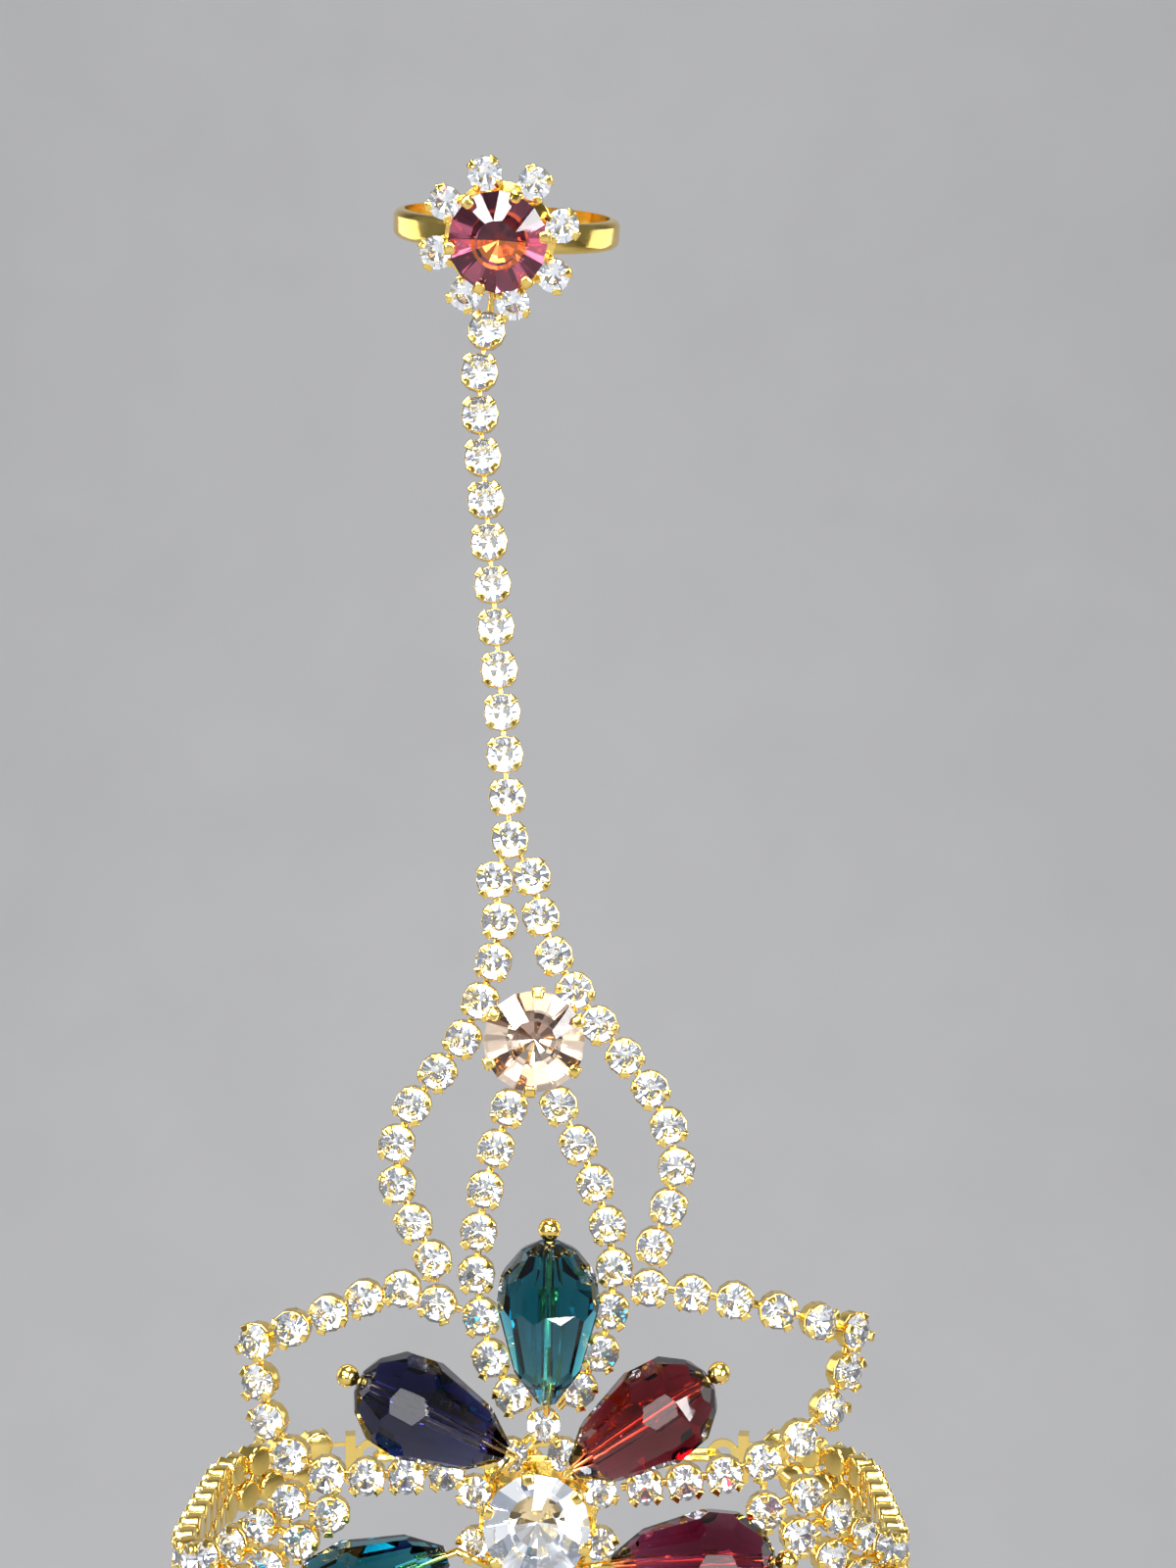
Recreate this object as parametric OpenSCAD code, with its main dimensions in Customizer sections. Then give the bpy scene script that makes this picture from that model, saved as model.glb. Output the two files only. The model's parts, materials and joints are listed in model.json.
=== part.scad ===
// Hand chain bracelet: a finger ring, a chain along the back of the hand, a jewelled flower on
// the wrist and two-row straps that close behind it. Upright, fingertips up, back of the hand
// towards -Y, in millimetres. The origin is the middle of the wrist.

/* [Small stones] */
// Width of a small stone, corner to corner
stone_d = 2.4; // [2.2:0.05:2.5]
// Height of a small stone above its widest line
stone_crown = 0.5; // [0.35:0.05:0.6]
// Depth of a small stone below its widest line
stone_back = 0.88; // [0.8:0.01:1]
// Width of a stone's flat table, as a share of the stone's width
table_share = 0.5; // [0.4:0.05:0.6]

/* [Cups] */
// Thickness of a small cup's wall
cup_wall = 0.2; // [0.15:0.01:0.25]
// Thickness of a small cup's floor
cup_floor = 0.25; // [0.2:0.01:0.3]
// Room under a stone's point
point_room = 0.25; // [0.2:0.01:0.3]
// Height of a cup's rim below the stone's widest line
rim_drop = 0.23; // [0.15:0.01:0.3]
// Room between a stone and the metal that holds it
stone_room = 0.08; // [0.06:0.01:0.12]
// Width of a small prong
prong_w = 0.45; // [0.35:0.01:0.5]
// Thickness of a small prong
prong_t = 0.26; // [0.2:0.01:0.3]
// Length of a small prong over the stone's edge
prong_reach = 0.2; // [0.1:0.01:0.3]
// Width of the solder bars between cups
bar_w = 0.55; // [0.4:0.05:0.7]
// Thickness of the solder bars between cups
bar_t = 0.4; // [0.3:0.05:0.5]
// Gap left where one soldered piece meets the next
solder_gap = 0.2; // [0.15:0.05:0.3]

/* [Rows] */
// Distance between the stones of the finger chain
finger_pitch = 3.46; // [3.3:0.02:3.7]
// Distance between the stones of the soldered rows
row_pitch = 3.35; // [3.2:0.05:3.5]
// Distance between the stones along a strap
strap_pitch = 3.25; // [3.15:0.05:3.4]
// Distance between the two rows of a strap
strap_gap = 2.95; // [2.9:0.05:3.1]
// Width of the tongue that links two cups
tongue_w = 0.34; // [0.3:0.01:0.36]
// Thickness of the tongue that links two cups
tongue_t = 0.25; // [0.2:0.01:0.28]
// Width of a tongue's head, wider than the slot that it went through
head_w = 0.7; // [0.67:0.01:0.76]
// Free room round a tongue in its slot
slot_room = 0.12; // [0.1:0.01:0.13]

/* [Large stones] */
// Width of the ring's large stone
ring_stone_d = 7.9; // [7.5:0.1:8.1]
// Width of the large stone between the strands
upper_stone_d = 8.2; // [7.8:0.1:8.4]
// Width of the large stone in the flower's centre
centre_stone_d = 8.6; // [8.2:0.1:8.8]
// Height of a large stone's widest line over the hand
large_lift = 3.6; // [3.5:0.05:3.9]
// Height of a large stone above its widest line
large_crown = 1.15; // [0.9:0.05:1.3]
// Depth of a large stone below its widest line
large_back = 2.9; // [2.7:0.05:3.1]
// Wall of a large setting
large_wall = 0.32; // [0.25:0.01:0.4]
// Rim height of a large setting's tapered wall
large_rim = 2.5; // [2.3:0.05:2.7]
// Outer radius of a large setting's foot
large_foot = 2.3; // [2.1:0.05:2.5]
// Width of a large prong
large_prong_w = 0.75; // [0.6:0.05:0.9]
// Distance from a large stone's edge to the middles of the stones round it
halo_step = 1.2; // [1.15:0.05:1.35]
// Thickness of the plate behind a cluster
plate_t = 0.28; // [0.2:0.02:0.34]
// Half the width of the square plate behind the flower's centre
plate_half = 4.35; // [4.2:0.05:4.5]

/* [Finger ring] */
// Bore of the finger ring
finger_d = 17.4; // [15:0.1:20]
// Thickness of the band
band_t = 0.9; // [0.7:0.05:1.2]
// Width of the band
band_w = 2.4; // [2:0.1:3]
// Lean of the ring on the finger, its back raised
ring_tilt = 20; // [10:1:25]
// Roll of the ring on the finger, its right side lowered
ring_roll = 3.5; // [0:0.5:6]

/* [Glass drops] */
// Widest diameter of a drop
drop_d = 8; // [7.6:0.1:8.1]
// Length of a drop
drop_len = 13; // [12:0.1:13.4]
// Hole through a drop
drop_hole = 0.9; // [0.8:0.05:1.1]
// Height of a drop's narrow end over the hand
drop_lift = 3.6; // [3.5:0.05:3.8]
// Diameter of a pin's wire
pin_d = 0.6; // [0.5:0.05:0.7]
// Diameter of the ball on a pin
ball_d = 1.8; // [1.6:0.05:2]

/* [Wrist] */
// Width of the wrist
wrist_w = 60; // [58:0.5:62]
// Thickness of the wrist
wrist_t = 38; // [36:0.5:42]
// Corner radius of the wrist's section
wrist_corner = 12; // [11:0.5:13]
// Height of the straps round the wrist, measured from the flower's centre
strap_z = -8; // [-9:0.25:-7]

/* [Clasp] */
// Wire of the oval links
link_wire = 0.7; // [0.6:0.05:0.75]
// Inner length of an oval link
link_len = 3.4; // [3.2:0.1:3.8]
// Inner width of an oval link
link_w = 1.5; // [1.45:0.05:1.6]
// Number of links in the extender, an odd number
link_count = 7; // [5:2:7]
// Play between two linked rings
link_play = 0.3; // [0.25:0.05:0.35]
// Radius of the eye holes
eye_r = 0.9; // [0.85:0.05:1]
// Wall round the eye holes
eye_wall = 0.7; // [0.6:0.05:0.8]
// Thickness of the strap ends' eyes
eye_t = 0.5; // [0.4:0.05:0.55]
// Height of the links' middle line over the wrist
link_lift = 1.6; // [1.5:0.05:1.8]
// Distance between the clasp's two holes
clasp_len = 6.2; // [5.6:0.1:6.8]
// Thickness of the clasp
clasp_t = 0.6; // [0.5:0.05:0.65]
// Radius of the clasp's larger hole
clasp_hole = 1.6; // [1.5:0.05:1.8]

/* [Hidden] */

// Chosen points of the rows of stones: across and up from the wrist's middle, laid flat
FINGER_ROUTE = [[-4.12, 96.3], [-4.75, 92.2], [-4.24, 82.8], [-3.13, 68.9], [-2.25, 55]];
OUTER_LEFT_ROUTE = [[-3.5, 51.7], [-3.2, 46.6], [-5.9, 39.1], [-10.5, 32.8], [-11.5, 27.5], [-8.5, 20.9]];
OUTER_RIGHT_ROUTE = [[-0.45, 52], [1.2, 45.9], [5.1, 39.8], [9.6, 34], [11.3, 28.2], [9.5, 22]];
INNER_LEFT_ROUTE = [[-2.3, 33.2], [-4.2, 26.8], [-4.95, 19.7], [-3.8, 12.9], [-2.05, 9.9]];
INNER_RIGHT_ROUTE = [[1.75, 33.4], [4.6, 27.2], [6.25, 20.2], [5.1, 13.3], [3.3, 10.4]];
PETAL_LEFT_TOP = [[-8.1, 17.3], [-11.5, 18.5], [-17.5, 16.3], [-22.7, 14]];
PETAL_LEFT_BOTTOM = [[-22.7, 14], [-21.8, 7.9], [-18, 3.7], [-11, 3.4], [-7.4, 3.7]];
PETAL_RIGHT_TOP = [[9.1, 18.6], [15.9, 17.6], [20.8, 16.3], [26, 14.4]];
PETAL_RIGHT_BOTTOM = [[26, 14.4], [24, 8.9], [18.1, 4.4], [12, 2.9], [8.7, 2.5]];
STRAP_LEFT_ROUTE = [[-17.8, 1.3], [-22.8, -3.2], [-28.2, -6.6], [-34, strap_z + 0.1], [-39, strap_z]];
STRAP_RIGHT_ROUTE = [[19.4, 1.6], [24.6, -2.6], [29.8, -6.2], [35.5, strap_z + 0.1], [40, strap_z]];
LINK_STONE = [0.5, 7.5];
UPPER_AT = [-0.22, 38.9];
CENTRE_AT = [0, 0];
// Ring's middle sideways from the top of the finger chain
RING_SHIFT = 1.15;

// Angles of the halo stones and of the large prongs, and the number of stones in a halo
HALO_COUNT = 8;
RING_HALO_TURN = 15;
CENTRE_HALO_TURN = 22.5;
RING_PRONG_TURN = 10;
UPPER_PRONG_TURN = 25;
CENTRE_PRONG_TURN = 39;
PRONG_COUNT = 6;

// Drops: narrow end (x, z), direction of the fat end, rise, foot of the pin (x, z)
DROP_TOP = [0.8, 10.15, 89, 4, 0.75, 9.15];
DROP_BLUE = [-2.55, 6.15, 153, 4, -3.55, 3.55];
DROP_RED = [3, 4.8, 34.5, 4, 3.55, 3.55];
DROP_CRIMSON = [6.05, -2.9, 5, 10, 3.55, -3.55];
DROP_LOWER = [-7.2, -2.15, 198.5, 10, -3.55, -3.55];
// Sections of a drop: share of its length from the narrow end, share of its radius, half turns
DROP_ROWS = [[0, 0.25, 0], [0.16, 0.6, 1], [0.38, 0.87, 0], [0.62, 1, 1],
    [0.8, 0.88, 0], [0.93, 0.58, 1], [1, 0.28, 0]];
DROP_SIDES = 12;
PIN_SIDES = 12;

GOLD = [0.85, 0.66, 0.2];
CLEAR = [0.87, 0.92, 0.97];

// Stone and cup heights, measured outwards from the hand
small_sides = 8;
half_step = cos(180 / small_sides);
point_z = cup_floor + point_room;
girdle_z = point_z + stone_back;
rim_z = girdle_z - rim_drop;
stone_flat = stone_d / 2 * half_step;
table_z = girdle_z + stone_crown;
table_flat = stone_flat * table_share;
cup_in = stone_d / 2 * (rim_z - point_z) / stone_back + stone_room / half_step;
cup_out = cup_in + cup_wall / half_step;
cup_in_flat = cup_in * half_step;
cup_out_flat = cup_out * half_step;
prong_out = stone_flat + stone_room + prong_t;
// Height of a tongue's middle over the cup's floor, its head, and the slot's place in the wall
tongue_rise = 0.37;
tongue_z = cup_floor + tongue_rise;
head_t = 0.2;
head_reach = 0.42;
slot_near = 1.5;
slot_depth = 0.78;
bar_z = 0.2;
plate_z = 0.05;
wall_bite = 0.12;
// Reach of a plate under the cups round it
plate_lap = 0.4;
// Ring's cluster to the finger chain: distance between their stones, and length of the arm to it
ring_step = 2.05;
ring_arm = 1.7;
// How far the band runs into its plate
band_sink = 0.3;
// Length and width of the ledge under the upper pin's foot
ledge_len = 1.3;
ledge_w = 1;
// Pin: gap under its ball, distance from the drop to its bend, and rise of the bend over the hand
ball_gap = 0.1;
bend_step = 0.9;
bend_drop = 1.05;
ring_halo = ring_stone_d / 2 + halo_step;
centre_halo = centre_stone_d / 2 + halo_step;

// Wrist section, walked round from the middle of the back of the hand
flat_u = wrist_w / 2 - wrist_corner;
side_u = wrist_t - 2 * wrist_corner;
corner_u = wrist_corner * PI / 2;
half_loop = 2 * flat_u + side_u + 2 * corner_u;
hand_y = -wrist_t / 2;

// Places along the back of the wrist, from the left eye to the right one
eye_step = eye_r - link_play / 2 + link_len / 2;
link_pitch = link_len - link_play;
hook_step = link_len / 2 - link_play / 2 + clasp_hole;
eye_span = 3 * eye_step + (link_count - 1) * link_pitch + hook_step + clasp_len;
eye_u = half_loop - eye_span / 2;
// Strap's end bar: half its width, how far the eye runs into it, and half the width of the eye's arm
bar_half = 0.5;
end_bite = 0.15;
end_step = eye_r + eye_wall + bar_half - end_bite;
strap_end_u = eye_u - end_step;
arm_half = 0.8;
// Clasp: metal round its larger hole, and half the width of its waist
clasp_rim = 0.8;
clasp_waist = 1.1;

function wrap_turn(u) =
    let (a = abs(u) - flat_u, b = a - corner_u - side_u)
    sign(u) * (a <= 0 ? 0 : b <= 0 ? min(90, a / wrist_corner * 180 / PI)
        : min(180, 90 + b / wrist_corner * 180 / PI));
function wrap_point(p) =
    let (u = p[0], s = sign(u), a = abs(u) - flat_u, b = a - corner_u - side_u, t = abs(wrap_turn(u)))
    let (middle = side_u / 2, r = wrist_corner)
    a <= 0 ? [u, hand_y, p[1]]
    : a <= corner_u ? [s * (flat_u + r * sin(t)), -middle - r * cos(t), p[1]]
    : b <= 0 ? [s * wrist_w / 2, a - corner_u - middle, p[1]]
    : b <= corner_u ? [s * (flat_u + r * sin(t)), middle - r * cos(t), p[1]]
    : [s * (flat_u - b + corner_u), -hand_y, p[1]];

// A smooth curve through chosen points, and stones spread evenly along it
function knot(p, i) = p[max(0, min(len(p) - 1, i))];
function bend(a, b, c, d, t) =
    b + t / 2 * (c - a) + t * t * (a - 2.5 * b + 2 * c - d / 2) + t * t * t / 2 * (3 * b - a - 3 * c + d);
function smooth(p) = [
    for (i = [0 : len(p) - 2], k = [0 : 9]) bend(knot(p, i - 1), p[i], p[i + 1], knot(p, i + 2), k / 10),
    p[len(p) - 1]
];
function lengths(p) = [
    for (i = 0, s = 0; i < len(p); s = s + (i + 1 < len(p) ? norm(p[i + 1] - p[i]) : 0), i = i + 1) s
];
function along(p, sums, s) =
    let (last = len(p) - 2)
    let (i = [for (k = [0 : last]) if (k == last || s < sums[k + 1]) k][0])
    let (d = (p[i + 1] - p[i]) / norm(p[i + 1] - p[i]), q = p[i] + d * (s - sums[i]))
    [q[0], q[1], atan2(d[1], d[0])];
function total(p) = let (sums = lengths(p)) sums[len(sums) - 1];
function spread(p, pitch) =
    let (sums = lengths(p), n = max(1, round(total(p) / pitch)))
    [for (i = [0 : n]) along(p, sums, total(p) * i / n)];
function row(p, pitch = row_pitch) = spread(smooth(p), pitch);
function tail(p) = [for (i = [1 : len(p) - 1]) p[i]];
function halo(at, r, turn) = [
    for (i = [0 : HALO_COUNT - 1])
        let (a = turn + i * 360 / HALO_COUNT) [at[0] + r * cos(a), at[1] + r * sin(a), a]
];
function nearest(stations, p) =
    let (d = [for (s = stations) norm([s[0] - p[0], s[1] - p[1]])])
    stations[search(min(d), d)[0]];

// A strap's stones: the inner row, then the outer row half a step ahead of it
function strap_line(route, side) = concat(smooth(route), [[side * strap_end_u, strap_z]]);
function strap_count(line) = round(total(line) / strap_pitch - 0.5);
function strap_step(line) = total(line) / (strap_count(line) + 0.5);
function beside(s, d) = [s[0] - d * sin(s[2]), s[1] + d * cos(s[2]), s[2]];
function strap_row(line, ahead, shift) =
    let (sums = lengths(line))
    [for (i = [0 : strap_count(line) - 1]) beside(along(line, sums, (i + ahead) * strap_step(line)), shift)];

finger_cups = row(FINGER_ROUTE, finger_pitch);
outer_left = row(OUTER_LEFT_ROUTE);
outer_right = row(OUTER_RIGHT_ROUTE);
inner_left = row(INNER_LEFT_ROUTE);
inner_right = row(INNER_RIGHT_ROUTE);
petal_left_cups = concat(row(PETAL_LEFT_TOP), tail(row(PETAL_LEFT_BOTTOM)));
petal_right_cups = concat(row(PETAL_RIGHT_TOP), tail(row(PETAL_RIGHT_BOTTOM)));
ring_at = [FINGER_ROUTE[0][0] + RING_SHIFT, FINGER_ROUTE[0][1] + ring_halo + ring_step];
ring_raise = (ring_halo + cup_out) * sin(ring_tilt) + plate_z;
ring_cups = halo(ring_at, ring_halo, RING_HALO_TURN);
centre_cups = halo(CENTRE_AT, centre_halo, CENTRE_HALO_TURN);
link_cup = [LINK_STONE[0], LINK_STONE[1], 90];
strap_left_line = strap_line(STRAP_LEFT_ROUTE, -1);
strap_right_line = strap_line(STRAP_RIGHT_ROUTE, 1);
// A strap's inner row lies below its line: to the left of travel on the left hand side
strap_left_inner = strap_row(strap_left_line, 0, strap_gap / 2);
strap_left_outer = strap_row(strap_left_line, 0.5, -strap_gap / 2);
strap_right_inner = strap_row(strap_right_line, 0, -strap_gap / 2);
strap_right_outer = strap_row(strap_right_line, 0.5, strap_gap / 2);

// Stands a piece on the hand at a station, its own Z pointing outwards
module at(s) {
    translate(wrap_point(s)) rotate([0, 0, wrap_turn(s[0])])
        rotate([90, 0, 0]) rotate([0, 0, s[2]]) children();
}

// The straight line from one station to another, seen in a frame whose X runs along it
function step_of(a, b) = wrap_point(b) - wrap_point(a);
function span(a, b) = norm(step_of(a, b));
module toward(a, b) {
    d = step_of(a, b);
    way = sign(b[0] - a[0]) == 0 ? 1 : sign(b[0] - a[0]);
    across = norm([d[0], d[1]]);
    turn = across > 0.5 ? atan2(way * d[1], way * d[0]) : (wrap_turn(a[0]) + wrap_turn(b[0])) / 2;
    translate(wrap_point(a)) rotate([0, 0, turn]) rotate([90, 0, 0])
        rotate([0, 0, atan2(d[2], way * across)]) children();
}

module cut_stone(d, crown, back, sides) {
    ring = function(r, z) [
        for (i = [0 : sides - 1]) [r * cos(360 * (i + 0.5) / sides), r * sin(360 * (i + 0.5) / sides), z]
    ];
    points = concat(ring(d / 2 * table_share, crown), ring(d / 2, 0), [[0, 0, -back]]);
    next = function(i) (i + 1) % sides;
    faces = concat(
        [[for (i = [sides - 1 : -1 : 0]) i]],
        [for (i = [0 : sides - 1]) [i, next(i), sides + next(i), sides + i]],
        [for (i = [0 : sides - 1]) [sides + i, sides + next(i), 2 * sides]]
    );
    polyhedron(points, faces);
}

module small_stone() {
    translate([0, 0, girdle_z]) cut_stone(stone_d, stone_crown, stone_back, small_sides);
}

module small_stones(stations) {
    color(CLEAR) for (s = stations) at(s) small_stone();
}

// A prong is a side view, drawn outwards and up, given a width
module prong(outline, width) {
    rotate([90, 0, 0]) translate([0, 0, -width / 2]) linear_extrude(width) polygon(outline);
}

module small_prong() {
    tip = stone_flat - prong_reach;
    tip_z = girdle_z + stone_crown * prong_reach / (stone_flat - table_flat) + stone_room + 0.02;
    prong([
        [cup_out_flat - cup_wall / 2, 0.15], [cup_out_flat + 0.12, 0.15], [prong_out, girdle_z + 0.1],
        [tip, tip_z + 0.22], [tip, tip_z], [stone_flat + stone_room, girdle_z + 0.15]
    ], prong_w);
}

module cup() {
    difference() {
        rotate([0, 0, 22.5]) cylinder(h = rim_z, r = cup_out, $fn = small_sides);
        translate([0, 0, cup_floor]) rotate([0, 0, 22.5]) cylinder(h = rim_z, r = cup_in, $fn = small_sides);
    }
    for (a = [45 : 90 : 315]) rotate([0, 0, a]) small_prong();
}

// Solder bar from one cup to the next, wall to wall
module bar(a, b) {
    start = cup_out_flat - wall_bite;
    toward(a, b) translate([start, -bar_w / 2, bar_z]) cube([span(a, b) - 2 * start, bar_w, bar_t]);
}

// Solder bar that ends just short of a cup of another piece
module tab(a, b, start = cup_out_flat - wall_bite) {
    end = span(a, b) - prong_out - solder_gap;
    toward(a, b) translate([start, -bar_w / 2, bar_z]) cube([end - start, bar_w, bar_t]);
}

module soldered_row(stations) {
    for (s = stations) at(s) cup();
    for (i = [0 : len(stations) - 2]) bar(stations[i], stations[i + 1]);
}

// Tongue of one cup, whose head sits inside the next cup, and the slot that it goes through
module tongue(a, b, start = cup_out_flat - wall_bite) {
    reach = span(a, b) - head_reach;
    toward(a, b) translate([0, 0, tongue_z - tongue_t / 2]) linear_extrude(tongue_t) polygon([
        [start, -tongue_w / 2], [reach - head_t, -tongue_w / 2], [reach - head_t, -head_w / 2],
        [reach, -head_w / 2], [reach, head_w / 2], [reach - head_t, head_w / 2],
        [reach - head_t, tongue_w / 2], [start, tongue_w / 2]
    ]);
}

module slot(a, b) {
    width = tongue_w + 2 * slot_room;
    height = tongue_t + 2 * slot_room;
    toward(a, b) translate([span(a, b) - slot_near, -width / 2, tongue_z - height / 2])
        cube([slot_depth, width, height]);
}

// Tapered wall, six prongs and foot of a large setting
module large_setting(d, turn) {
    flat = d / 2 * cos(180 / 16);
    foot_in = large_foot - large_wall;
    rim_out = flat - 0.7;
    rim_in = rim_out - large_wall;
    cylinder(h = plate_z + plate_t, r = large_foot, $fn = 48);
    rotate_extrude($fn = 48)
        polygon([[foot_in, 0.1], [large_foot, 0.1], [rim_out, large_rim], [rim_in, large_rim]]);
    slope = large_crown / (flat * (1 - table_share));
    tip = flat - 0.75;
    tip_z = large_lift + slope * 0.75 + stone_room + 0.04;
    for (i = [0 : PRONG_COUNT - 1]) rotate([0, 0, turn + i * 360 / PRONG_COUNT]) prong([
        [rim_in + 0.08, large_rim - 0.45], [rim_out + 0.02, large_rim - 0.45],
        [flat + 0.5, large_lift - 0.15], [flat + 0.45, large_lift + 0.3],
        [tip, tip_z + 0.35], [tip, tip_z], [flat + stone_room + 0.05, large_lift + 0.1],
        [flat + stone_room + 0.05, large_lift - 0.12]
    ], large_prong_w);
}

module large_stone(d) {
    translate([0, 0, large_lift]) cut_stone(d, large_crown, large_back, 16);
}

// Plate and cups round a large setting
module cluster(at_point, r, stations, d, prong_turn) {
    middle = [at_point[0], at_point[1], 0];
    at(middle) {
        large_setting(d, prong_turn);
        translate([0, 0, plate_z]) cylinder(h = plate_t, r = r - cup_out_flat + plate_lap, $fn = 64);
    }
    for (s = stations) at(s) cup();
}

module band() {
    r = finger_d / 2;
    h = band_w / 2;
    translate([ring_at[0], hand_y + r + band_t - band_sink, ring_at[1]]) rotate_extrude($fn = 96) polygon([
        [r, -h], [r + 0.6 * band_t, -h], [r + 0.9 * band_t, -0.6 * h], [r + band_t, 0],
        [r + 0.9 * band_t, 0.6 * h], [r + 0.6 * band_t, h], [r, h]
    ]);
}

// The ring leans on its finger, resting on the lower edge of its cluster
module lean() {
    middle = [ring_at[0], hand_y, ring_at[1]];
    translate(middle - [0, ring_raise, 0]) rotate([ring_tilt, ring_roll, 0]) translate(-middle) children();
}

module finger_ring() {
    middle = concat(ring_at, 0);
    start = ring_halo - cup_out_flat;
    color(GOLD) {
        lean() {
            cluster(ring_at, ring_halo, ring_cups, ring_stone_d, RING_PRONG_TURN);
            band();
            toward(middle, finger_cups[0]) translate([start, -bar_w / 2, plate_z])
                cube([ring_arm, bar_w, bar_t]);
        }
        tongue(middle, finger_cups[0], (start + 1) * cos(ring_tilt));
    }
}

module ring_stone() {
    color([0.45, 0.16, 0.3]) lean() at(concat(ring_at, 0)) large_stone(ring_stone_d);
}

// Linked cups: each has a tongue into the next and a slot for the one before
module finger_chain() {
    last = len(finger_cups) - 1;
    color(GOLD) for (i = [0 : last]) {
        before = i == 0 ? concat(ring_at, 0) : finger_cups[i - 1];
        difference() {
            at(finger_cups[i]) cup();
            slot(before, finger_cups[i]);
        }
        if (i < last) tongue(finger_cups[i], finger_cups[i + 1]);
    }
    color(GOLD) for (s = [outer_left[0], outer_right[0]]) tongue(finger_cups[last], s);
}

// A soldered strand whose first cup takes the finger chain's tongue
module outer_strand(stations) {
    difference() {
        at(stations[0]) cup();
        slot(finger_cups[len(finger_cups) - 1], stations[0]);
    }
    soldered_row(tail(stations));
    bar(stations[0], stations[1]);
}

module outer_strand_left() {
    color(GOLD) {
        outer_strand(outer_left);
        tab(outer_left[0], outer_right[0]);
        tab(outer_left[len(outer_left) - 1], petal_left_cups[0]);
    }
}

module outer_strand_right() {
    color(GOLD) {
        outer_strand(outer_right);
        tab(outer_right[len(outer_right) - 1], petal_right_cups[0]);
    }
}

module inner_strand_left() {
    color(GOLD) {
        soldered_row(inner_left);
        tab(inner_left[len(inner_left) - 1], link_cup);
    }
}

module inner_strand_right() {
    color(GOLD) {
        soldered_row(inner_right);
        tab(inner_right[len(inner_right) - 1], link_cup);
    }
}

module upper_setting() {
    middle = concat(UPPER_AT, 0);
    color(GOLD) {
        at(middle) large_setting(upper_stone_d, UPPER_PRONG_TURN);
        for (s = [nearest(outer_left, middle), nearest(outer_right, middle), inner_left[0], inner_right[0]])
            tab(middle, s, large_foot - 0.5);
    }
}

module upper_stone() {
    color([0.93, 0.76, 0.62]) at(concat(UPPER_AT, 0)) large_stone(upper_stone_d);
}

module centre_setting() {
    color(GOLD) {
        cluster(CENTRE_AT, centre_halo, centre_cups, centre_stone_d, CENTRE_PRONG_TURN);
        at(concat(CENTRE_AT, 0)) translate([-plate_half, -plate_half, plate_z + 0.03])
            cube([2 * plate_half, 2 * plate_half, plate_t - 0.06]);
        at(link_cup) cup();
        for (i = [1, 2]) bar(centre_cups[i], link_cup);
        toward(link_cup, [DROP_TOP[4], DROP_TOP[5], 0])
            translate([cup_out_flat - wall_bite, -ledge_w / 2, bar_z]) cube([ledge_len, ledge_w, bar_t]);
    }
}

module centre_stone() {
    color(CLEAR) at(concat(CENTRE_AT, 0)) large_stone(centre_stone_d);
}

module petal_left() {
    color(GOLD) {
        soldered_row(petal_left_cups);
        tab(petal_left_cups[0], nearest(inner_left, petal_left_cups[0]));
        tab(petal_left_cups[len(petal_left_cups) - 1], centre_cups[3]);
        for (s = [strap_left_inner[0], strap_left_outer[0]]) tab(nearest(petal_left_cups, s), s);
    }
}

module petal_right() {
    color(GOLD) {
        soldered_row(petal_right_cups);
        tab(petal_right_cups[0], nearest(inner_right, petal_right_cups[0]));
        tab(petal_right_cups[len(petal_right_cups) - 1], centre_cups[0]);
        for (s = [strap_right_inner[0], strap_right_outer[0]]) tab(nearest(petal_right_cups, s), s);
    }
}

// Puts a drop's own Z along its pin, with its narrow end at the frame's origin
module drop_frame(drop) {
    translate([drop[0], hand_y - drop_lift, drop[1]]) rotate([90, 0, 0]) rotate([0, 0, drop[2]])
        rotate([0, 90 - drop[3], 0]) children();
}

module glass_drop(drop) {
    n = DROP_SIDES;
    rows = len(DROP_ROWS);
    points = [
        for (row = DROP_ROWS, i = [0 : n - 1])
            let (a = 360 * (i + row[2] / 2) / n, r = row[1] * drop_d / 2)
            [r * cos(a), r * sin(a), row[0] * drop_len]
    ];
    band = function(k) [
        for (i = [0 : n - 1])
            let (lead = DROP_ROWS[k + 1][2] > DROP_ROWS[k][2], j = (i + 1) % n, low = k * n, high = low + n)
            each lead ? [[low + i, high + i, low + j], [low + j, high + i, high + j]]
                : [[low + i, high + i, high + j], [low + i, high + j, low + j]]
    ];
    faces = concat(
        [[for (i = [0 : n - 1]) i]],
        [for (k = [0 : rows - 2]) each band(k)],
        [[for (i = [n - 1 : -1 : 0]) (rows - 1) * n + i]]
    );
    drop_frame(drop) difference() {
        polyhedron(points, faces);
        translate([0, 0, -1]) cylinder(h = drop_len + 2, d = drop_hole, $fn = 24);
    }
}

function unit(v) = v / norm(v);
// A section carried along a straight stretch of wire to the plane through p across n
function carry(section, p, d, n) = [for (q = section) q + d * (((p - q) * n) / (d * n))];

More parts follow.
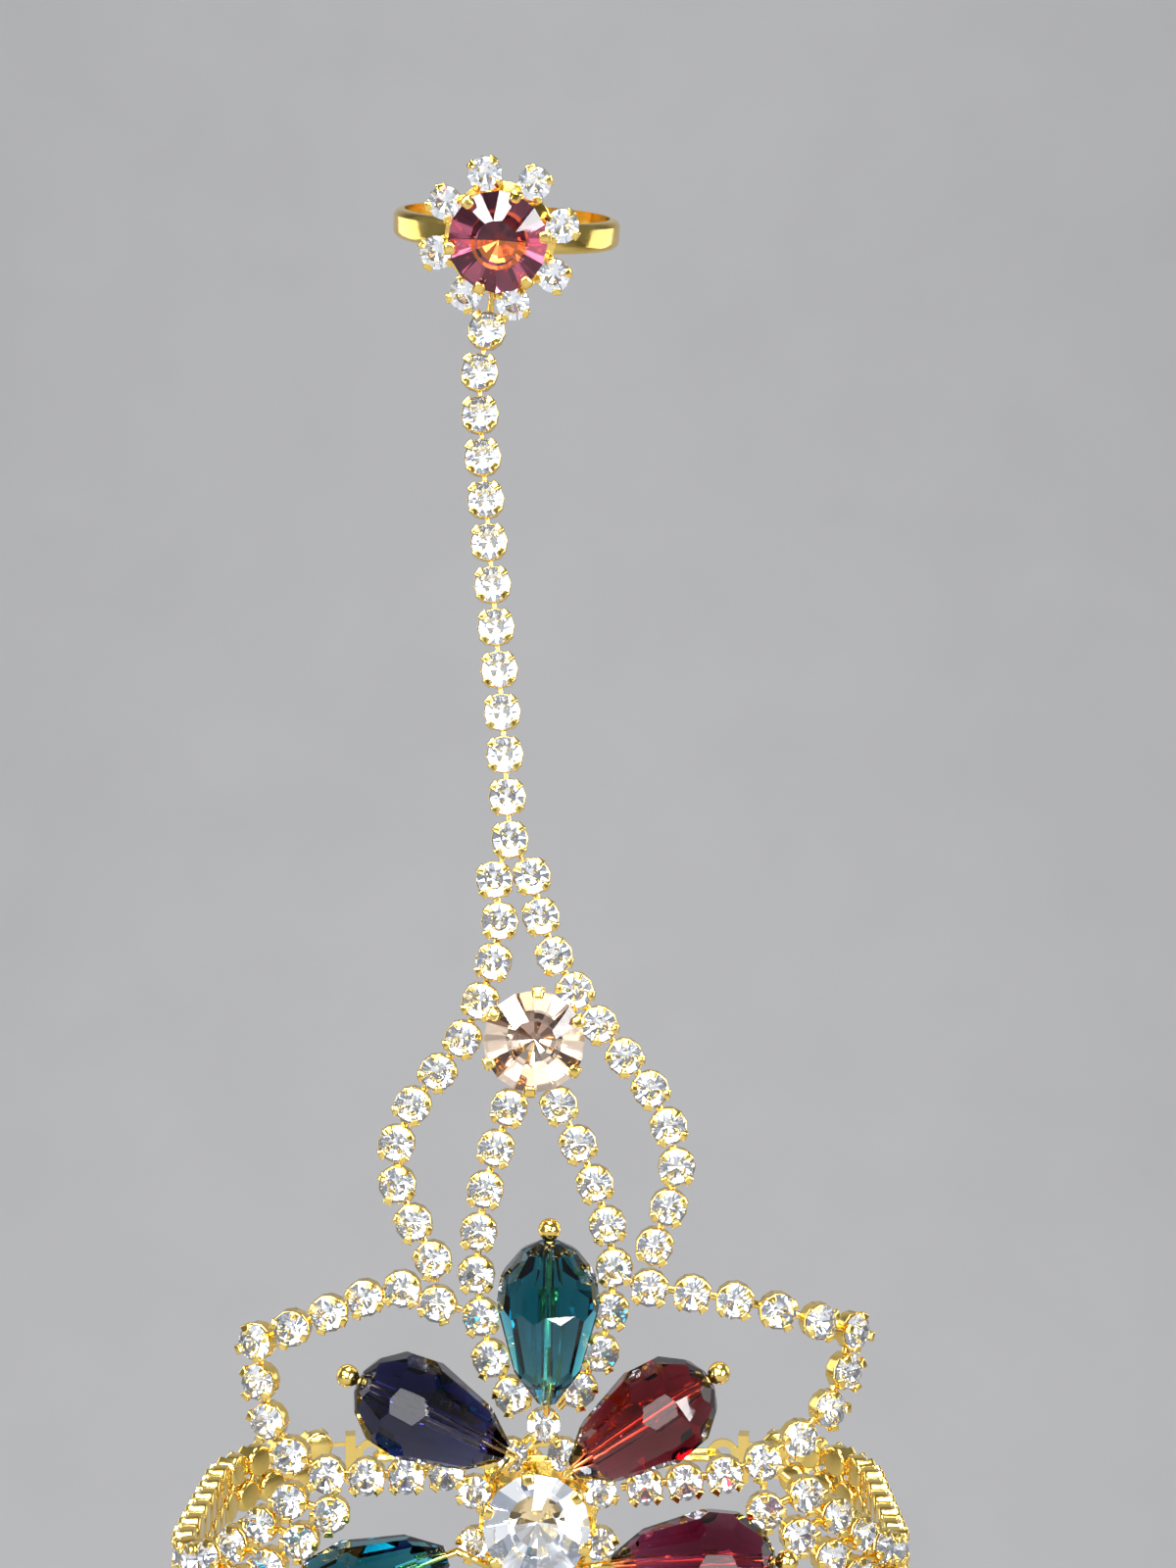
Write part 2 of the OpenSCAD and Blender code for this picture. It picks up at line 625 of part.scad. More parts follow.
// Ball-headed pin: through the drop, over the edge and down to the plate
module head_pin(drop, stands_on = plate_z + plate_t) {
    n = PIN_SIDES;
    way = [cos(drop[3]) * cos(drop[2]), -sin(drop[3]), cos(drop[3]) * sin(drop[2])];
    tip = [drop[0], hand_y - drop_lift, drop[1]];
    ball = tip + (drop_len + ball_gap + ball_d / 2) * way;
    inner = tip - bend_step * way;
    foot = [drop[4], hand_y - stands_on - solder_gap, drop[5]];
    over = [foot[0], hand_y - drop_lift + bend_drop, foot[2]];
    slant = unit(over - inner);
    down = unit(foot - over);
    across = unit(cross(way, [0, 1, 0]));
    up = cross(across, way);
    neck = 180 - asin(pin_d / ball_d);
    sphere_rings = [
        for (a = [12 : (neck - 12) / 6 : neck + 0.01], k = [0 : n - 1])
            let (out = cos(360 * k / n) * across + sin(360 * k / n) * up)
            ball + ball_d / 2 * (cos(a) * way + sin(a) * out)
    ];
    last = [for (k = [n : -1 : 1]) sphere_rings[len(sphere_rings) - k]];
    bend_in = carry(last, inner, -way, unit(slant - way));
    bend_down = carry(bend_in, over, slant, unit(slant + down));
    points = concat(sphere_rings, bend_in, bend_down, carry(bend_down, foot, down, down));
    rings = len(points) / n;
    color(GOLD) polyhedron(points, concat(
        [[for (k = [0 : n - 1]) k]],
        [
            for (i = [0 : rings - 2], k = [0 : n - 1])
                let (m = (k + 1) % n)
                [i * n + k, (i + 1) * n + k, (i + 1) * n + m, i * n + m]
        ],
        [[for (k = [n - 1 : -1 : 0]) (rings - 1) * n + k]]
    ));
}

// One strap: staggered pairs of cups, each row linked by tongues into the pair before
module strap(inner, outer) {
    for (i = [0 : len(inner) - 1]) {
        for (line = [inner, outer]) difference() {
            at(line[i]) cup();
            slot(i + 1 < len(line) ? line[i + 1] : end_start(line[i]), line[i]);
        }
        bar(inner[i], outer[i]);
        if (i > 0) for (line = [inner, outer]) tongue(line[i], line[i - 1]);
    }
}

// Where the end bar's tongue for a row starts, level with the row's last cup
function end_start(cup) = [sign(cup[0]) * strap_end_u, cup[1], cup[2]];

module strap_end(inner, outer) {
    side = sign(inner[0][0]);
    tall = link_lift + eye_t / 2;
    half = strap_gap / 2 + 0.9;
    last = len(inner) - 1;
    at([side * strap_end_u, strap_z, 0]) translate([-bar_half, -half, 0.1])
        cube([2 * bar_half, 2 * half, tall - 0.1]);
    for (s = [inner[last], outer[last]]) tongue(end_start(s), s, 0);
    difference() {
        union() {
            back_at(side * eye_span / 2) translate([0, 0, link_lift - eye_t / 2])
                cylinder(h = eye_t, r = eye_r + eye_wall, $fn = 40);
            hull() {
                back_at(side * (eye_span / 2 + eye_r + 0.2))
                    translate([-0.1, -arm_half, link_lift - eye_t / 2]) cube([0.2, 2 * arm_half, eye_t]);
                at([side * strap_end_u, strap_z, 0]) translate([-0.2, -arm_half, tall - eye_t])
                    cube([0.4, 2 * arm_half, eye_t]);
            }
        }
        back_at(side * eye_span / 2) cylinder(h = 5, r = eye_r, $fn = 40);
    }
}

// A frame on the back of the wrist: X across to the right, Z outwards
module back_at(x) {
    translate([x, -hand_y, strap_z]) rotate([-90, 0, 0]) children();
}

// Oval link of round wire, six-sided in section, standing on edge when turned
module oval_link(turned) {
    r = (link_w + link_wire) / 2;
    straight = (link_len - link_w) / 2;
    arc = [for (i = [0 : 6]) 30 * i - 90];
    path = concat(
        [for (a = arc) [straight + r * cos(a), r * sin(a), a]],
        [for (a = arc) [-straight - r * cos(a), -r * sin(a), a + 180]]
    );
    n = len(path);
    points = [
        for (p = path, k = [0 : 5])
            let (c = link_wire / 2 * cos(60 * k), h = link_wire / 2 * sin(60 * k))
            [p[0] + c * cos(p[2]), p[1] + c * sin(p[2]), h]
    ];
    faces = [
        for (i = [0 : n - 1], k = [0 : 5])
            let (j = (i + 1) % n, m = (k + 1) % 6)
            [i * 6 + k, i * 6 + m, j * 6 + m, j * 6 + k]
    ];
    rotate([turned ? 90 : 0, 0, 0]) polyhedron(points, faces);
}

module extender_chain() {
    first = -eye_span / 2 + eye_step;
    color(GOLD) for (i = [0 : link_count - 1]) back_at(first + i * link_pitch)
        translate([0, 0, link_lift]) oval_link(i % 2 == 0);
}

module clasp_ring() {
    color(GOLD) back_at(eye_span / 2 - eye_step) translate([0, 0, link_lift]) oval_link(true);
}

module clasp() {
    tail_x = eye_span / 2 - 2 * eye_step;
    hook_x = tail_x - clasp_len;
    outer = clasp_hole + clasp_rim;
    color(GOLD) back_at(hook_x) translate([0, 0, link_lift - clasp_t / 2]) difference() {
        union() {
            cylinder(h = clasp_t, r = outer, $fn = 48);
            translate([clasp_len, 0, 0]) cylinder(h = clasp_t, r = eye_r + eye_wall, $fn = 40);
            translate([clasp_hole + 0.2, -clasp_waist, 0])
                cube([clasp_len - clasp_hole - eye_r - 0.4, 2 * clasp_waist, clasp_t]);
        }
        translate([0, 0, -1]) cylinder(h = 3, r = clasp_hole, $fn = 48);
        translate([clasp_len, 0, -1]) cylinder(h = 3, r = eye_r, $fn = 40);
    }
}

finger_ring();
ring_stone();
lean() small_stones(ring_cups);  // ring_halo_stones
finger_chain();
small_stones(finger_cups);  // finger_chain_stones
outer_strand_left();
outer_strand_right();
small_stones(outer_left);  // outer_stones_left
small_stones(outer_right);  // outer_stones_right
upper_setting();
upper_stone();
inner_strand_left();
inner_strand_right();
small_stones(inner_left);  // inner_stones_left
small_stones(inner_right);  // inner_stones_right
centre_setting();
centre_stone();
small_stones(concat(centre_cups, [link_cup]));  // centre_halo_stones
petal_left();
petal_right();
small_stones(petal_left_cups);  // petal_stones_left
small_stones(petal_right_cups);  // petal_stones_right
color([0.05, 0.4, 0.45]) glass_drop(DROP_TOP);  // drop_top
color([0.05, 0.07, 0.5]) glass_drop(DROP_BLUE);  // drop_blue
color([0.6, 0.03, 0.1]) glass_drop(DROP_RED);  // drop_red
color([0.4, 0.02, 0.18]) glass_drop(DROP_CRIMSON);  // drop_crimson
color([0.05, 0.4, 0.45]) glass_drop(DROP_LOWER);  // drop_lower
head_pin(DROP_TOP, bar_z + bar_t);  // pin_top
head_pin(DROP_BLUE);  // pin_blue
head_pin(DROP_RED);  // pin_red
head_pin(DROP_CRIMSON);  // pin_crimson
head_pin(DROP_LOWER);  // pin_lower
color(GOLD) strap(strap_left_inner, strap_left_outer);  // strap_left
color(GOLD) strap(strap_right_inner, strap_right_outer);  // strap_right
small_stones(concat(strap_left_inner, strap_left_outer));  // strap_stones_left
small_stones(concat(strap_right_inner, strap_right_outer));  // strap_stones_right
color(GOLD) strap_end(strap_left_inner, strap_left_outer);  // strap_end_left
color(GOLD) strap_end(strap_right_inner, strap_right_outer);  // strap_end_right
extender_chain();
clasp();
clasp_ring();
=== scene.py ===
"""Dresses the hand chain bracelet: gold cups and settings, cut stones, glass drops, and the stage."""

import json
import math

import bmesh
import bpy
import numpy as np
from mathutils import Matrix, Vector


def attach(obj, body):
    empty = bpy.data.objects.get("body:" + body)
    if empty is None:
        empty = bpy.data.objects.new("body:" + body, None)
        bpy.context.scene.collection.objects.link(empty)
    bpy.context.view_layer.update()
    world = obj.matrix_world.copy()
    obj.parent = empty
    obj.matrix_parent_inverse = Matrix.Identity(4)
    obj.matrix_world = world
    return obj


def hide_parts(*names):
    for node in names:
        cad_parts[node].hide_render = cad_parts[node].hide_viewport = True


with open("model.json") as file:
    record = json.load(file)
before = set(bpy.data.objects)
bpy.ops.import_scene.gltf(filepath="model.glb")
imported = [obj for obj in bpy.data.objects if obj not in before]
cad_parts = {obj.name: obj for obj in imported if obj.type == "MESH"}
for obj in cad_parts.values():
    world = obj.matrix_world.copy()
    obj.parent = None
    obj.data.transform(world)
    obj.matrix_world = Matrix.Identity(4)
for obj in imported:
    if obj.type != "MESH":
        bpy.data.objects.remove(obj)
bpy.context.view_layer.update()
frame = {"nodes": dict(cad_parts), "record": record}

bl_info = {
    "name": "Hand chain bracelet",
    "version": (1, 0, 0),
    "blender": (4, 5, 0),
    "location": "3D View > Sidebar > Hand chain",
    "description": "Makes the cups, stones, drops and stage of a jewelled hand chain",
    "category": "Object",
}

MM = 0.001
NODES = frame["nodes"]

# Stones whose cups are joined by solder, by the node that holds the metal
SOLDERED = {
    "outer_strand_left": "outer_stones_left",
    "outer_strand_right": "outer_stones_right",
    "inner_strand_left": "inner_stones_left",
    "inner_strand_right": "inner_stones_right",
    "petal_left": "petal_stones_left",
    "petal_right": "petal_stones_right",
}
STRAPS = {"strap_left": "strap_stones_left", "strap_right": "strap_stones_right"}
HALOS = {"ring_halo_stones": "ring_stone", "centre_halo_stones": "centre_stone"}
DROP_GLASS = {
    "drop_top": "teal",
    "drop_lower": "teal",
    "drop_blue": "blue",
    "drop_red": "red",
    "drop_crimson": "crimson",
}
# Rows of facets on a drop: share of its length, share of its half width, tilt in degrees, half turns
FACET_ROWS = ((0.09, 0.41, -36, 1), (0.4, 0.825, -15, 0), (0.7, 0.965, 7, 1), (0.845, 0.8, 38, 0), (0.954, 0.5, 62, 1))
# Soft lights: name, place and width in millimetres, and power in watts
SOFT_LIGHTS = (
    ("key", (-344, -481, 440), 300, 6.2),
    ("fill", (456, -441, 180), 220, 2.4),
    ("top", (56, -101, 660), 300, 3.0),
    ("upper", (36, -641, 420), 180, 2.4),
    ("left", (-384, -581, 20), 130, 1.2),
    ("right", (376, -601, 20), 130, 1.2),
    ("front", (-40, -700, 210), 300, 1.1),
    ("back left", (-300, 130, 110), 240, 0.24),
    ("back right", (300, 130, 110), 240, 0.24),
)
# Turns of the large settings' claws, in degrees
CLAW_TURNS = {"ring_stone": 10, "upper_stone": 25, "centre_stone": 39}
# Which of the sixteen facets round a large stone's back take the bright foil, a painted highlight; the others take the
# darker foil, painted shade
PAINTED_BRIGHT_FACETS = (0, 2, 3, 5, 7, 8, 10, 12, 13, 15)
# The foils behind the large stones that glow most: painted light that these facets give out though they are no lamps
PAINTED_GLOW_PARTS = (("plum", "lower"), ("champagne", "bright"), ("centre", "bright"), ("centre", "lower"))


def size(title, about, millimetres):
    """A length that a user may change, in metres."""
    return bpy.props.FloatProperty(name=title, description=about, default=millimetres * MM, unit="LENGTH", precision=5)


def colour(title, about, rgb):
    """A colour that a user may change."""
    return bpy.props.FloatVectorProperty(name=title, description=about, default=rgb, subtype="COLOR", min=0, max=1)


class CupSizes(bpy.types.PropertyGroup):
    point_lift: size("Point lift", "Height of a small stone's point over the back of its cup", 0.5)
    deep: size("Depth", "How much deeper than the plain solid a small stone is cut", 0.18)
    girdle: size("Girdle height", "Height of a small stone's widest line", 1.43)
    crown: size("Crown", "Height of a small stone above its widest line", 0.52)
    stone: size("Stone width", "Width of a small stone in a row", 2.9)
    halo_stone: size("Halo stone width", "Width of a small stone round a large one", 2.7)
    width: size("Cup width", "Width of a cup across the row", 3.08)
    halo_width: size("Halo cup width", "Width of a cup round a large stone", 2.66)
    stretch: bpy.props.FloatProperty(name="Stretch", description="How much longer than wide a cup is", default=1.03)
    wall: size("Wall", "Thickness of a cup's wall", 0.2)
    floor: size("Floor", "Thickness of a cup's floor", 0.25)
    round: size("Round", "How far the edge of a cup's back is rounded", 0.35)
    rim: size("Rim height", "Height of a cup's rim", 1.22)
    play: size("Play", "Room between a stone and its claws", 0.03)
    claw_top: size("Claw height", "Height of the claws over the back of the cup", 1.95)
    claw_rise: size("Claw rise", "How much a claw rises as it folds inwards", 0.12)
    bar_width: size("Bar width", "Width of the solder bars between cups", 0.6)
    bar_lift: size("Bar lift", "Height of the middle of the solder bars", 0.5)
    bar_depth: size("Bar depth", "Thickness of the solder bars", 0.5)
    tongue_width: size("Tongue width", "Width of the tongues that link two cups", 0.36)
    tongue_lift: size("Tongue lift", "Height of the middle of the tongues", 0.62)
    solder_gap: size("Solder gap", "Gap where one piece meets the next", 0.2)


class SettingSizes(bpy.types.PropertyGroup):
    point_lift: size("Point lift", "Height of a large stone's point over the back of its setting", 0.7)
    deep: size("Depth", "How much deeper than the plain solid a large stone is cut", 0.28)
    girdle: size("Girdle height", "Height of a large stone's widest line", 3.6)
    crown: size("Crown", "Height of a large stone above its widest line", 1.15)
    foot: size("Foot radius", "Radius of a large setting's foot", 2.3)
    wall: size("Wall", "Thickness of a large setting's wall", 0.32)
    rim: size("Rim height", "Height of a large setting's rim", 2.5)
    plate: size("Plate", "Thickness of the plate behind a cluster", 0.28)
    plate_half: size("Plate half width", "Half the width of the square plate behind the centre", 4.35)


class BandSizes(bpy.types.PropertyGroup):
    thick: size("Band thickness", "Thickness of the finger ring's band", 0.9)
    width: size("Band width", "Width of the finger ring's band", 2.4)


class DropSizes(bpy.types.PropertyGroup):
    length: size("Drop length", "Length of a glass drop", 13)
    width: size("Drop width", "Widest diameter of a glass drop", 8)
    hole: size("Drop hole", "Diameter of the hole through a drop", 1.0)
    facets: bpy.props.IntProperty(name="Facets", description="Facets in each row round a drop", default=12)
    wire: size("Pin wire", "Diameter of a pin's wire", 0.6)
    ball: size("Pin ball", "Diameter of a pin's ball", 1.8)
    ball_gap: size("Ball gap", "Gap between a drop and its pin's ball", 0.1)
    bend_step: size("Bend step", "Distance from a drop's narrow end to the pin's bend", 0.9)
    bend_drop: size("Bend drop", "How much lower than the drop's narrow end the pin turns down", 1.05)


# Colours of the pieces, and the painted light and shade of the foils behind the stones
class ColoursAndPaintedLight(bpy.types.PropertyGroup):
    gold: colour("Gold", "Colour of the plated metal", (1.0, 0.68, 0.16))
    clear: colour("Clear", "Colour of the clear stones", (0.95, 0.97, 1.0))
    plum: colour("Plum", "Colour of the ring's large stone", (0.86, 0.62, 0.7))
    # The foils below, behind the large stones, are painted light and shade: bright and dark facets in turn, a darker
    # upper and a brighter lower half behind each table
    plum_bright: colour("Plum bright", "Bright facets behind the plum stone", (0.78, 0.42, 0.52))
    plum_dark: colour("Plum dark", "Darker facets behind the plum stone", (0.3, 0.12, 0.18))
    plum_upper: colour("Plum upper", "Facets behind the upper half of the plum stone's table", (0.14, 0.03, 0.06))
    plum_lower: colour("Plum lower", "Facets behind the lower half of the plum stone's table", (1.0, 0.33, 0.06))
    champagne: colour("Champagne", "Colour of the large stone between the strands", (1.0, 0.93, 0.87))
    champagne_bright: colour("Champagne bright", "Bright facets behind the champagne stone", (1.0, 0.89, 0.78))
    champagne_dark: colour("Champagne dark", "Darker facets behind the champagne stone", (0.42, 0.3, 0.23))
    champagne_upper: colour("Champagne upper", "Facets behind the upper half of its table", (0.4, 0.32, 0.3))
    champagne_lower: colour("Champagne lower", "Facets behind the lower half of its table", (1.0, 0.92, 0.84))
    centre_bright: colour("Centre bright", "Bright facets behind the centre stone", (0.97, 0.98, 1.0))
    centre_dark: colour("Centre dark", "Darker facets behind the centre stone", (0.62, 0.66, 0.74))
    centre_upper: colour("Centre upper", "Facets behind the upper half of its table", (0.72, 0.55, 0.3))
    centre_lower: colour("Centre lower", "Facets behind the lower half of its table", (0.95, 0.95, 0.95))
    # Painted glow: light that the foils give out though they are no lamps, the sheen on every foil and the glow on the
    # brightest
    painted_sheen: bpy.props.FloatProperty(name="Sheen", description="Light that the backs of the stones add", default=0.07)
    painted_glow: bpy.props.FloatProperty(name="Glow", description="Light that the brightest facets add", default=0.35)
    teal: colour("Teal", "Colour of the teal drops", (0.0, 0.62, 0.68))
    blue: colour("Blue", "Colour of the blue drop", (0.0, 0.01, 0.42))
    red: colour("Red", "Colour of the red drop", (0.66, 0.0, 0.1))
    crimson: colour("Crimson", "Colour of the crimson drop", (0.62, 0.0, 0.3))
    depth: bpy.props.FloatProperty(name="Depth", description="How strongly a drop soaks up light", default=650)


class StageSizes(bpy.types.PropertyGroup):
    distance: size("Camera distance", "Distance from the camera to the hand's plane", 170)
    height: size("View height", "Height of the view at the hand's plane", 128)
    across: size("View middle across", "Where the camera looks, sideways", 4.1)
    up: size("View middle up", "Where the camera looks, upwards", 59.5)
    hand: size("Hand plane", "Distance from the wrist's middle to the back of the hand", 19)
    floor: size("Floor", "Height of the floor", -150)
    wall: size("Wall", "Distance from the wrist's middle to the backdrop", 480)


# Materials


def new_material(name):
    """An empty node material and its shader."""
    made = bpy.data.materials.new(name)
    made.use_nodes = True
    return made, made.node_tree, made.node_tree.nodes["Principled BSDF"]


def object_noise(tree, scale, detail=3.0):
    """Noise on object coordinates, the same size on every piece."""
    place = tree.nodes.new("ShaderNodeTexCoord")
    noise = tree.nodes.new("ShaderNodeTexNoise")
    noise.inputs["Scale"].default_value = scale
    noise.inputs["Detail"].default_value = detail
    tree.links.new(place.outputs["Object"], noise.inputs["Vector"])
    return noise


def spread(tree, value, low, high, socket):
    """Leads a value into a socket, stretched between two numbers."""
    reach = tree.nodes.new("ShaderNodeMapRange")
    reach.inputs["From Min"].default_value = 0.3
    reach.inputs["From Max"].default_value = 0.7
    reach.inputs["To Min"].default_value = low
    reach.inputs["To Max"].default_value = high
    tree.links.new(value, reach.inputs["Value"])
    tree.links.new(reach.outputs["Result"], socket)


def bumped(tree, shader, value, strength, distance):
    """Raises the surface a little where a value is high."""
    bump = tree.nodes.new("ShaderNodeBump")
    bump.inputs["Strength"].default_value = strength
    bump.inputs["Distance"].default_value = distance
    tree.links.new(value, bump.inputs["Height"])
    tree.links.new(bump.outputs["Normal"], shader.inputs["Normal"])


def gold():
    """Polished gold plating: worn a little paler, with fine polishing waves."""
    if "gold plating" in bpy.data.materials:
        return bpy.data.materials["gold plating"]
    made, tree, shader = new_material("gold plating")
    tone = bpy.context.scene.chain_finishes.gold
    shader.inputs["Metallic"].default_value = 1
    wear = object_noise(tree, 420)
    mix = tree.nodes.new("ShaderNodeMix")
    mix.data_type = "RGBA"
    mix.inputs[6].default_value = (*tone, 1)
    mix.inputs[7].default_value = (min(1, tone[0]), tone[1] * 1.12, tone[2] * 1.5, 1)
    spread(tree, wear.outputs["Fac"], 0, 1, mix.inputs[0])
    tree.links.new(mix.outputs[2], shader.inputs["Base Color"])
    spread(tree, wear.outputs["Fac"], 0.1, 0.22, shader.inputs["Roughness"])
    waves = object_noise(tree, 1300, 2)
    bumped(tree, shader, waves.outputs["Fac"], 0.22, 0.00006)
    return made


def foil_with_painted_light(name, rgb, painted_glow):
    """The mirror on the back of a cut stone, a little uneven, with a painted glow: it gives out light of its own
    though it is no lamp.
    """
    title = f"{name} foil"
    if title in bpy.data.materials:
        return bpy.data.materials[title]
    made, tree, shader = new_material(title)
    shader.inputs["Metallic"].default_value = 1
    shader.inputs["Base Color"].default_value = (*rgb, 1)
    shader.inputs["Emission Color"].default_value = (*rgb, 1)
    shader.inputs["Emission Strength"].default_value = painted_glow
    haze = object_noise(tree, 900)
    spread(tree, haze.outputs["Fac"], 0.02, 0.08, shader.inputs["Roughness"])
    return made


def glass(name, rgb, rough=0.0, ior=1.56):
    """Cut glass: clear through, with faint surface marks."""
    title = f"{name} glass"
    if title in bpy.data.materials:
        return bpy.data.materials[title]
    made, tree, shader = new_material(title)
    shader.inputs["Base Color"].default_value = (*rgb, 1)
    shader.inputs["Transmission Weight"].default_value = 1
    shader.inputs["IOR"].default_value = ior
    marks = object_noise(tree, 1500, 4)
    spread(tree, marks.outputs["Fac"], rough, rough + 0.03, shader.inputs["Roughness"])
    return made


def deep_glass(name, rgb, depth):
    """Glass coloured all through, so that it is darker where it is thicker."""
    made = glass(name, (1, 1, 1))
    tree = made.node_tree
    soak = tree.nodes.new("ShaderNodeVolumeAbsorption")
    soak.inputs["Color"].default_value = (*rgb, 1)
    soak.inputs["Density"].default_value = depth
    tree.links.new(soak.outputs["Volume"], tree.nodes["Material Output"].inputs["Volume"])
    return made


# Modelling by hand: each starts from a primitive and is shaped in edit mode


def deselect():
    """Leaves edit mode and selects nothing."""
    if bpy.context.object and bpy.context.object.mode != "OBJECT":
        bpy.ops.object.mode_set(mode="OBJECT")
    bpy.ops.object.select_all(action="DESELECT")


def begin_cylinder(name, sides, radius, low, high):
    """Adds an upright cylinder from one height to another and opens it for shaping."""
    deselect()
    middle = (0, 0, (low + high) / 2)
    bpy.ops.mesh.primitive_cylinder_add(vertices=sides, radius=radius, depth=high - low, location=middle)
    return begin_edit(name)


def begin_cube(name, length, width, depth, middle=(0, 0, 0)):
    """Adds a box and opens it for shaping."""
    deselect()
    bpy.ops.mesh.primitive_cube_add(size=1, location=middle)
    bpy.context.object.scale = (length, width, depth)
    return begin_edit(name)


def begin_edit(name):
    """Sets the new primitive's place in its mesh and goes into edit mode."""
    bpy.ops.object.transform_apply(location=True, rotation=True, scale=True)
    made = bpy.context.object
    made.name = name
    bpy.ops.object.mode_set(mode="EDIT")
    return made


def pick(test):
    """Selects the faces whose middle and normal pass a test."""
    bpy.ops.mesh.select_mode(type="FACE")
    bpy.ops.mesh.select_all(action="DESELECT")
    mesh = bpy.context.edit_object.data
    shape = bmesh.from_edit_mesh(mesh)
    shape.normal_update()
    for face in shape.faces:
        face.select_set(test(face.calc_center_median(), face.normal))
    bmesh.update_edit_mesh(mesh)


def pick_edges(test):
    """Selects the edges whose two ends pass a test."""
    bpy.ops.mesh.select_mode(type="EDGE")
    bpy.ops.mesh.select_all(action="DESELECT")
    mesh = bpy.context.edit_object.data
    shape = bmesh.from_edit_mesh(mesh)
    for edge in shape.edges:
        edge.select_set(test(edge.verts[0].co, edge.verts[1].co))
    bmesh.update_edit_mesh(mesh)


def inset(by):
    bpy.ops.mesh.inset(thickness=by, use_even_offset=True)


def extrude(up, shrink=1.0):
    """Extrudes what is selected upwards, drawn in towards the upright axis."""
    bpy.ops.mesh.extrude_region_move(TRANSFORM_OT_translate={"value": (0, 0, up)})
    if shrink != 1:
        bpy.ops.transform.resize(value=(shrink, shrink, 1), center_override=(0, 0, 0))


def top_face(height):
    pick(lambda middle, normal: normal.z > 0.9 and abs(middle.z - height) < 1e-6 and middle.xy.length < 1e-6)


def finish(made, *modifiers):
    """Leaves edit mode and applies modifiers, each a type and its settings."""
    bpy.ops.object.mode_set(mode="OBJECT")
    for kind, settings in modifiers:
        added = made.modifiers.new(kind.lower(), kind)
        for key, value in settings.items():
            setattr(added, key, value)
        bpy.ops.object.modifier_apply(modifier=added.name)
    return made


def smooth(made, degrees=35):
    deselect()
    made.select_set(True)
    bpy.context.view_layer.objects.active = made
    bpy.ops.object.shade_smooth_by_angle(angle=math.radians(degrees))


def claw_fronts(low, high):
    """Picks the faces of the claws between two heights that look inwards."""
    pick(lambda middle, normal: low < middle.z < high and normal.xy.dot(middle.xy.normalized()) < -0.6)


def model_cup(stone, width):
    """A small cup: a stretched wall with a floor, and four claws folded over a stone of a given width."""
    cup = bpy.context.scene.cup_sizes
    made = begin_cylinder("cup pattern", 12, width / 2, 0, cup.rim)
    pick_edges(lambda a, b: max(a.z, b.z) < 1e-6)
    bpy.ops.mesh.bevel(offset=cup.round, segments=3)
    top_face(cup.rim)
    inset(cup.wall)
    extrude(cup.floor - cup.rim, 0.8)

    def corner(middle, normal):
        turn = math.degrees(math.atan2(abs(middle.y), abs(middle.x)))
        return normal.z > 0.9 and middle.z > cup.rim - 1e-6 and abs(turn - 45) < 12

    pick(corner)
    flare = (stone / 2 + cup.play + cup.wall / 2) / (width / 2 - cup.wall / 2)
    fold = cup.girdle + 0.12 * MM
    extrude(fold - cup.rim, flare)
    extrude(cup.claw_top - fold, 0.96)
    claw_fronts(fold, cup.claw_top)
    extrude(cup.claw_rise, 0.78)
    bpy.ops.mesh.select_all(action="SELECT")
    bpy.ops.transform.resize(value=(cup.stretch, 1, 1), center_override=(0, 0, 0))
    finish(made, ("BEVEL", {"width": 0.095 * MM, "segments": 3, "limit_method": "ANGLE", "angle_limit": 0.7}))
    smooth(made, 50)
    return made


def model_stone(name, sides, width, low, girdle, high, table, step=0.0):
    """A cut stone: a back with a point, a narrow girdle, a crown of facets and a flat table."""
    edge = 0.04 * MM if sides < 16 else 0.1 * MM
    made = begin_cylinder(name, sides, width / 2, girdle - edge, girdle)
    top_face(girdle)
    extrude(high - girdle, table)
    bpy.ops.transform.rotate(value=math.pi / sides, orient_axis="Z", center_override=(0, 0, 0))
    pick(lambda middle, normal: normal.z < -0.9)
    if step:
        extrude((low - girdle + edge) * step, 1 - step * 0.92)
    extrude((low - girdle + edge) * (1 - step), 0.04)
    bpy.ops.mesh.merge(type="CENTER")
    bpy.ops.mesh.select_all(action="SELECT")
    bpy.ops.mesh.quads_convert_to_tris(quad_method="FIXED", ngon_method="BEAUTY")
    bpy.ops.mesh.normals_make_consistent(inside=False)
    finish(made)
    return made


def model_setting(width):
    """A large setting: a foot, a flared wall and six claws folded over the stone."""
    one = bpy.context.scene.setting_sizes
    flat = width / 2 * math.cos(math.pi / 16)
    rim = flat - 0.7 * MM
    made = begin_cylinder("setting pattern", 48, one.foot, 0.05 * MM, 0.33 * MM)
    top_face(0.33 * MM)
    extrude(one.rim - 0.33 * MM, rim / one.foot)
    inset(one.wall)
    extrude(0.4 * MM - one.rim, (one.foot - one.wall) / (rim - one.wall))

    def at_claw(middle, normal):
        turn = (math.degrees(math.atan2(middle.y, middle.x)) + 30) % 60 - 30
        return normal.z > 0.9 and abs(middle.z - one.rim) < 1e-6 and abs(turn) < 4

    pick(at_claw)
    clear = (flat + 0.26 * MM) / (rim - one.wall / 2)
    fold = one.girdle + 0.2 * MM
    top = fold + 0.5 * MM
    extrude(one.girdle - 0.35 * MM - one.rim, clear)
    extrude(fold - one.girdle + 0.35 * MM)
    extrude(top - fold, 0.985)
    claw_fronts(fold, top)
    extrude(0.12 * MM, (flat - 0.42 * MM) / (flat + 0.15 * MM))
    finish(made, ("SUBSURF", {"levels": 2, "render_levels": 2}))
    smooth(made, 60)
    return made


